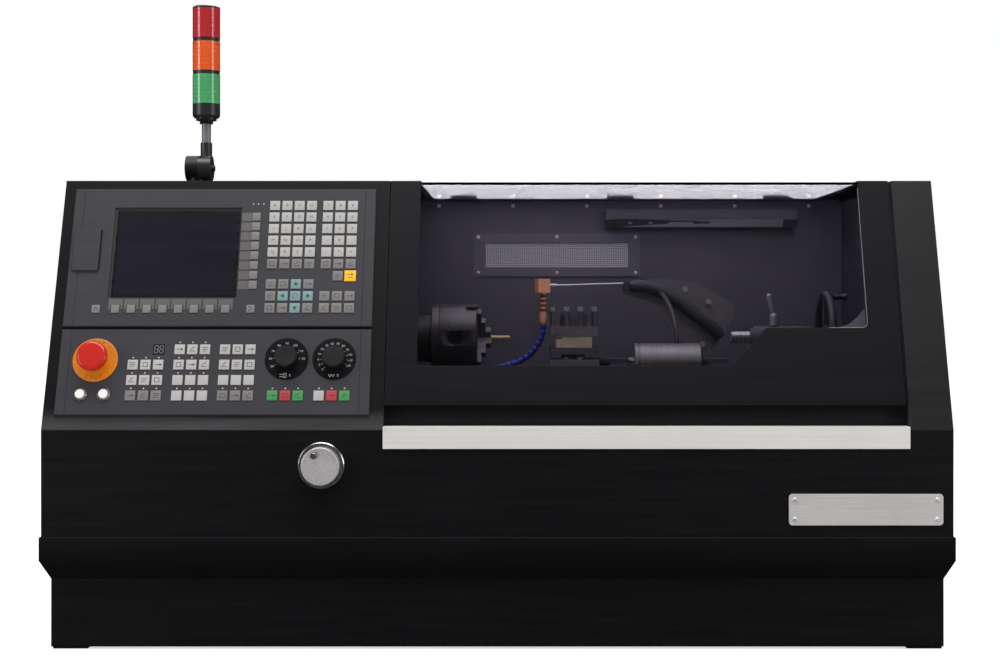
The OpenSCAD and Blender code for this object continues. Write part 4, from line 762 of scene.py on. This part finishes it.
for a in [k * math.pi / 6 for k in range(11)]:
    inked += bars((x + 3.4 * math.cos(a), t + 3.4 * math.sin(a), 0.7, 2.3, a))
x, t = YELLOW
inked += bars((x - 2.6, t + 2.2, 5, LINE), (x + 0.5, t - 2.4, 7, LINE)) + [arrow_head(x + 2.4, t + 2.2)]
for side in (-1, 1):
    inked += bars((NEXT_X - 0.3, SOFT_T + side * 2.1, 5.6, LINE, -side * 0.55))
for side in (-1, 1):
    inked += bars((BACK_X + side * 1.9, SOFT_T, 5.2, LINE, -side * 0.9))
finished(joined("key_legends", inked), ink, "enclosure", SLOPE)

# ---- Key lamps ----------------------------------------------------------------------------
# A small clear lens over a lamp sits above each mode key, and three more sit beside the
# screen's top corner. They are off, so they show as milky dots.

lens_milk = coated("lens_milk", (0.45, 0.44, 0.46), 0.3, dust=0.0)
LAMP_UP, LAMP_R = 10.1, 1.15
above = left_modes[3:] + rows_of(MODE_X, MODE_T, 3, 1, ROW) + left_modes[:3] + mid_modes
above += rows_of(MODE_X + 2 * MODE_GAP - 0.5, MODE_T, 3, 1, ROW)
above += [(start + i * PITCH, MODE_T) for start in START_X for i in range(3)]
dots = [(x, t + LAMP_UP, FACE) for x, t in above] + [(x, 326.0, FACE) for x in (-343.0, -336.0, -328.5)]
dot = stretched(
    shape(bpy.ops.mesh.primitive_uv_sphere_add, segments=12, ring_count=8, radius=LAMP_R * MM), (1, 1, 0.35),
)
bpy.ops.object.shade_smooth()
finished(joined("key_lamps", set_out(dot, dots)), lens_milk, "enclosure", SLOPE)

# ---- Dials --------------------------------------------------------------------------------
# Two fluted knobs turn over black skirts. Figures and tick marks are printed round each
# skirt in white, and a small sign below says which drive the dial scales.

dial_black = coated("dial_black", (0.011, 0.0105, 0.0135), 0.42, bump=0.00001, dust=0.1, Specular_IOR_Level=0.42)
skirt_black = coated("skirt_black", (0.006, 0.0058, 0.007), 0.45, dust=0.1, Specular_IOR_Level=0.12)
dress(dial_black, "spindle_dial", "feed_dial")
dress(skirt_black, "dial_skirts")
DIAL_X, DIAL_T = (-285.5, -221.0), 98.6
SKIRT, FIGURE_R, TICK_R = FACE + 1.12, 21.6, 17.4
SPEEDS = ("50", "60", "70", "80", "90", "100", "110", "120")
FEEDS = ("0", "2", "4", "10", "20", "40", "60", "70", "80", "90", "100", "110", "120")
scale_marks = []
for x, figures, start, step in ((DIAL_X[0], SPEEDS, 210, -30), (DIAL_X[1], FEEDS, 225, -21)):
    for i, figure in enumerate(figures):
        a = math.radians(start + i * step)
        out_x, out_t = math.cos(a), math.sin(a)
        scale_marks.append(mark(figure, x + FIGURE_R * out_x, DIAL_T + FIGURE_R * out_t, 4.6, SKIRT))
        scale_marks.append(bar(x + TICK_R * out_x, DIAL_T + TICK_R * out_t, 1.8, 0.5, SKIRT + 0.12, a))
x, t = DIAL_X[0], DIAL_T - 23.6
scale_marks += bars(
    (x - 5.5, t + 1.6, 6, 0.8), (x - 5.5, t - 1.6, 6, 0.8), (x - 2.4, t, 0.8, 6.6),
    (x + 0.6, t, 0.8, 6.6), (x - 0.9, t + 3, 3.6, 0.8), (x - 0.9, t - 3, 3.6, 0.8), h=SKIRT,
)
scale_marks.append(mark("%", x + 5.6, t, 5, SKIRT))
x = DIAL_X[1]
scale_marks += bars(*[(x - 6 + k * 2.1, t, 4.4, 0.8, 1.1 if k % 2 else -1.1) for k in range(4)], h=SKIRT)
scale_marks.append(mark("%", x + 5.6, t, 5, SKIRT))
white_ink = coated("white_ink", (0.40, 0.39, 0.39), 0.5, dust=0.0)
finished(joined("dial_figures", scale_marks), white_ink, "enclosure", SLOPE)

# ---- Stop button and push buttons ---------------------------------------------------------
# The stop is a glossy red moulded head over a yellow ring with its word printed round it. Two
# white caps sit in chromed rings, and each has a small locating lug.

stop_yellow = coated("stop_yellow", (0.64, 0.185, 0.002), 0.35, bump=0.00001, dust=0.1)
stop_red = coated("stop_red", (0.50, 0.012, 0.006), 0.3, bump=0.00001, dust=0.05, Coat_Weight=0.3)
stop_ink = coated("stop_ink", (0.16, 0.05, 0.01), 0.5, dust=0.0)
button_chrome = ground("button_chrome", (0.62, 0.61, 0.60), (0.5, 0.5, 0.5), 0.15, (40, 40, 40), 0.0, 0.1, 0.8)
button_white = coated("button_white", (0.86, 0.83, 0.80), 0.3, dust=0.1)
dress(stop_yellow, "stop_ring")
dress(stop_red, "stop_head")
dress(button_chrome, "button_rings")
dress(button_white, "left_button", "right_button")
STOP_X, STOP_T, WORD_R, WORD_H, WORD_STEP = -544.0, 96.8, 25.2, 7.5, 15
printed = []
for word, centre, way in (("STOP", 90, -1), ("STOP", 270, 1)):
    for i, sign in enumerate(word):
        a = math.radians(centre + way * (i - 1.5) * WORD_STEP)
        x, t = STOP_X + WORD_R * math.cos(a), STOP_T + WORD_R * math.sin(a)
        printed.append(mark(sign, x, t, WORD_H, FACE + 2.0, a + way * math.pi / 2))
finished(joined("stop_words", printed), stop_ink, "enclosure", SLOPE)
BUTTON_X, BUTTON_T, LUG_R, LUG_H = (-560.0, -528.7), 48.6, 1.5, 1.6
lug = set_out(disc(0, 0, LUG_R, 0, 10, 0, LUG_H), [(x + 5.6, BUTTON_T - 5.8, FACE) for x in BUTTON_X])
finished(joined("button_lugs", lug), button_chrome, "enclosure", SLOPE)

# ---- Handwheel ----------------------------------------------------------------------------
# The pulse handwheel is turned aluminium, polished and chromed, with a small crank grip that
# spins on its screw.

bright_chrome = ground("bright_chrome", (0.62, 0.60, 0.60), (0.52, 0.50, 0.50), 0.22, (40, 40, 40), 0.0, 0.1, 0.4)
ring_chrome = ground("ring_chrome", (0.50, 0.48, 0.48), (0.36, 0.35, 0.35), 0.16, (40, 40, 40), 0.0, 0.1, 0.9)
dress(bright_chrome, "pulse_wheel")
dress(ring_chrome, "pulse_ring", "crank_knob")

# ---- Bed and headstock --------------------------------------------------------------------
# The bed, headstock, saddle and tailstock are grey iron castings, painted dark, with ground
# ways. Shafts, jaws and the turret are steel, dulled by oil.

CROSSWISE = (10, 200, 200)  # lines of a cut along X
cast = coated("cast_paint", (0.045, 0.043, 0.055), 0.5, bump=0.0001, dust=0.6, peel=1.6, Specular_IOR_Level=0.25)
turned = ground("turned_steel", (0.14, 0.134, 0.146), (0.07, 0.066, 0.072), 0.28, (900, 2, 2), 0.0, metal=0.75)
quill_steel = ground("quill_steel", (0.50, 0.49, 0.51), (0.32, 0.31, 0.33), 0.22, (900, 2, 2), 0.0, metal=0.85)
hard_steel = ground("hard_steel", (0.13, 0.125, 0.14), (0.08, 0.076, 0.085), 0.38, (20, 200, 200), metal=0.6)
tool_steel = ground("tool_steel", (0.66, 0.57, 0.42), (0.32, 0.28, 0.21), 0.4, CROSSWISE, stain=0.8, metal=0.5)
brass_bar = ground("brass_bar", (0.70, 0.50, 0.28), (0.45, 0.32, 0.18), 0.25, (300, 10, 10), metal=0.6)
motor_skin = ground("satin_aluminium", (0.24, 0.23, 0.245), (0.17, 0.165, 0.175), 0.42, (200, 10, 10))
dress(cast, "bed", "headstock", "saddle", "cross_slide", "tailstock")
dress(turned, "spindle", "chuck", "leadscrew")
dress(quill_steel, "quill")
dress(hard_steel, "jaw_1", "jaw_2", "jaw_3", "tool_turret")
dress(brass_bar, "workpiece")
dress(tool_steel, "tool_holder")
dress(motor_skin, "turret_motor")

# ---- Coolant line -------------------------------------------------------------------------
# A sheet arm on the saddle carries the black conduit. A copper-coloured block feeds a
# threaded nipple and a string of blue ball-ended hose links, and is fed by a thin steel pipe.

arm_black = coated("arm_black", (0.034, 0.032, 0.042), 0.4, Specular_IOR_Level=0.3)
copper = ground(
    "copper_brass", (0.95, 0.44, 0.26), (0.62, 0.27, 0.16), 0.34, (40, 40, 60), stain=0.6, metal=0.35,
)
dress(arm_black, "coolant_arm")
dress(copper, "coolant_line")
dress(coated("blue_plastic", (0.018, 0.03, 0.25), 0.35, bump=0.00001), "coolant_hose")

# ---- Tailstock ----------------------------------------------------------------------------
# The clamp lever is blackened steel in a bright hub, and the handwheel at the rear end is
# black moulding with a grey grip. Each is given one finish all over: grey steel for the
# lever, black for the wheel.

dress(ground("lever_steel", (0.34, 0.33, 0.35), (0.2, 0.195, 0.205), 0.35, (60, 60, 60), metal=0.6), "quill_lever")
dress(coated("wheel_black", (0.03, 0.029, 0.036), 0.4, bump=0.00002), "tail_wheel")

# ---- Rounded edges ------------------------------------------------------------------------
# Edges of castings, folded sheet, panels and small steel parts are broken by a small radius,
# most on castings. Turned and moulded parts are not rounded, only shaded smooth.

FACETED = 0.2  # degrees, so low that the facets of round shapes stay
eased(0.5, 40, "base_plinth", "control_housing", "right_column", "hood_frame", "front_panel", "tower_base")
eased(0.3, 40, "rear_wall", "chip_tray")
eased(0.35, 40, "operator_panel", "machine_panel", "media_flap")
eased(0.35, 40, "sill_strip", "name_plate", "vent_frame", "lamp_batten")
eased(0.6, 32, "saddle", "cross_slide", "tailstock", "headstock")
eased(0.3, 32, "tool_turret", "tool_holder", "jaw_1", "jaw_2", "jaw_3", "coolant_line")
eased(0.0, 32, "tower_stem", "red_lens", "amber_lens", "green_lens", flat=FACETED)
eased(0.0, 32, "cover_screws", "hinge_pins", "hinge_leaves", flat=FACETED)
eased(0.0, 32, "stop_ring", "stop_head", "button_rings", "left_button", "right_button", flat=FACETED)
eased(0.0, 32, "dial_skirts", "spindle_dial", "feed_dial", flat=FACETED)
eased(0.0, 32, "pulse_ring", "pulse_wheel", "crank_knob", flat=FACETED)
eased(0.0, 32, "spindle", "chuck", "workpiece", "quill", "quill_lever", "tail_wheel", flat=FACETED)
eased(0.0, 32, "turret_motor", "coolant_arm", flat=FACETED)
eased(0.0, 40, "coolant_hose", "leadscrew", flat=FACETED)

# ---- Second finishes ----------------------------------------------------------------------
# Some castings and sheets carry faces of another metal: screwed-in heads and pipes, a ground
# clamp bar, a machined flange, a plate left in bare zinc.


def second_finish(made, name, chosen):
    """Gives made to the faces of a rounded piece for which chosen(centre in mm, normal) holds."""
    mesh = bpy.data.objects[name + "_skin"].data
    mesh.materials.append(made)
    for face in mesh.polygons:
        if chosen(face.center / MM, face.normal):
            face.material_index = len(mesh.materials) - 1


ARM_Y, BOLTS, BOLT_R = 115.0, ((284.5, 485.0), (320.0, 465.5), (310.5, 400.0)), 4.6
NIPPLE_X, THREAD_R, THREAD_Z, THREAD_PITCH = 65.0, 5.4, (448, 479), 3.6
CHIPS, CHIP_X, CHIP_STEP, CHIP_Y, CHIP_Z, CHIP_HALF = 8, 40, 32.714, 8.4, 8, 3.6
batten_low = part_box("lamp_batten")[0] / MM


def on_bolt(at, way):
    return ARM_Y - 5 < at.y < ARM_Y - 0.6 and any(math.hypot(at.x - x, at.z - z) < BOLT_R for x, z in BOLTS)


# Painted shade: every other pitch of the nipple's thread is darkened, for the shade between its crests.
def in_thread_shade(at, way):
    around = math.hypot(at.x - NIPPLE_X, at.y - ARM_Y + 6)
    return THREAD_Z[0] < at.z < THREAD_Z[1] and around < THREAD_R and int((479.5 - at.z) / THREAD_PITCH) % 2


def on_chip(at, way):
    off = at - batten_low
    near = [abs(off.x - CHIP_X - i * CHIP_STEP) < CHIP_HALF for i in range(CHIPS)]
    return abs(off.y - CHIP_Y) < 4 and abs(off.z - CHIP_Z) < 4 and any(near)


plain_bright = bpy.data.materials["bright_screws"]  # the CAD screws' own even metal, not the ground one
zinc = ground("zinc_plate", (0.13, 0.124, 0.134), (0.10, 0.095, 0.103), 0.5, (30, 30, 30), 0.0, 0.6, 0.4)
bar_steel = ground("bar_steel", (0.22, 0.212, 0.228), (0.13, 0.125, 0.135), 0.35, CROSSWISE, metal=0.6)
bolt_steel = ground("bolt_steel", (0.30, 0.29, 0.31), (0.20, 0.19, 0.20), 0.4, (60, 60, 60), metal=0.3)
# Dark brown for the painted shade on the nipple's thread.
thread_shade = ground("thread_shade", (0.28, 0.12, 0.05), (0.14, 0.06, 0.03), 0.4, (40, 40, 60))
side_black = coated("side_black", (0.040, 0.038, 0.05), 0.5, dust=0.15, Specular_IOR_Level=0.3)
second_finish(zinc, "coolant_arm", lambda at, way: at.y > ARM_Y - 0.6 and at.z > 352)
second_finish(bolt_steel, "coolant_arm", on_bolt)
second_finish(plain_bright, "coolant_line", lambda at, way: at.x > 77)
second_finish(thread_shade, "coolant_line", in_thread_shade)
second_finish(inner_black, "rear_wall", lambda at, way: at.y < 251.6)
second_finish(side_black, "right_column", lambda at, way: way.x < -0.7 and at.x < 556)
second_finish(side_black, "control_housing", lambda at, way: way.x > 0.7 and at.x > -156)
second_finish(zinc, "lamp_batten", lambda at, way: way.y < -0.3 and way.z < -0.3)
second_finish(lens_milk, "lamp_batten", on_chip)
second_finish(bar_steel, "turret_motor", lambda at, way: at.x < 206.4)
second_finish(plain_bright, "tool_turret", lambda at, way: at.z > 451)
second_finish(bar_steel, "tool_turret", lambda at, way: 412 < at.z < 430 and way.y < -0.7)
second_finish(bar_steel, "cross_slide", lambda at, way: way.y < -0.7)
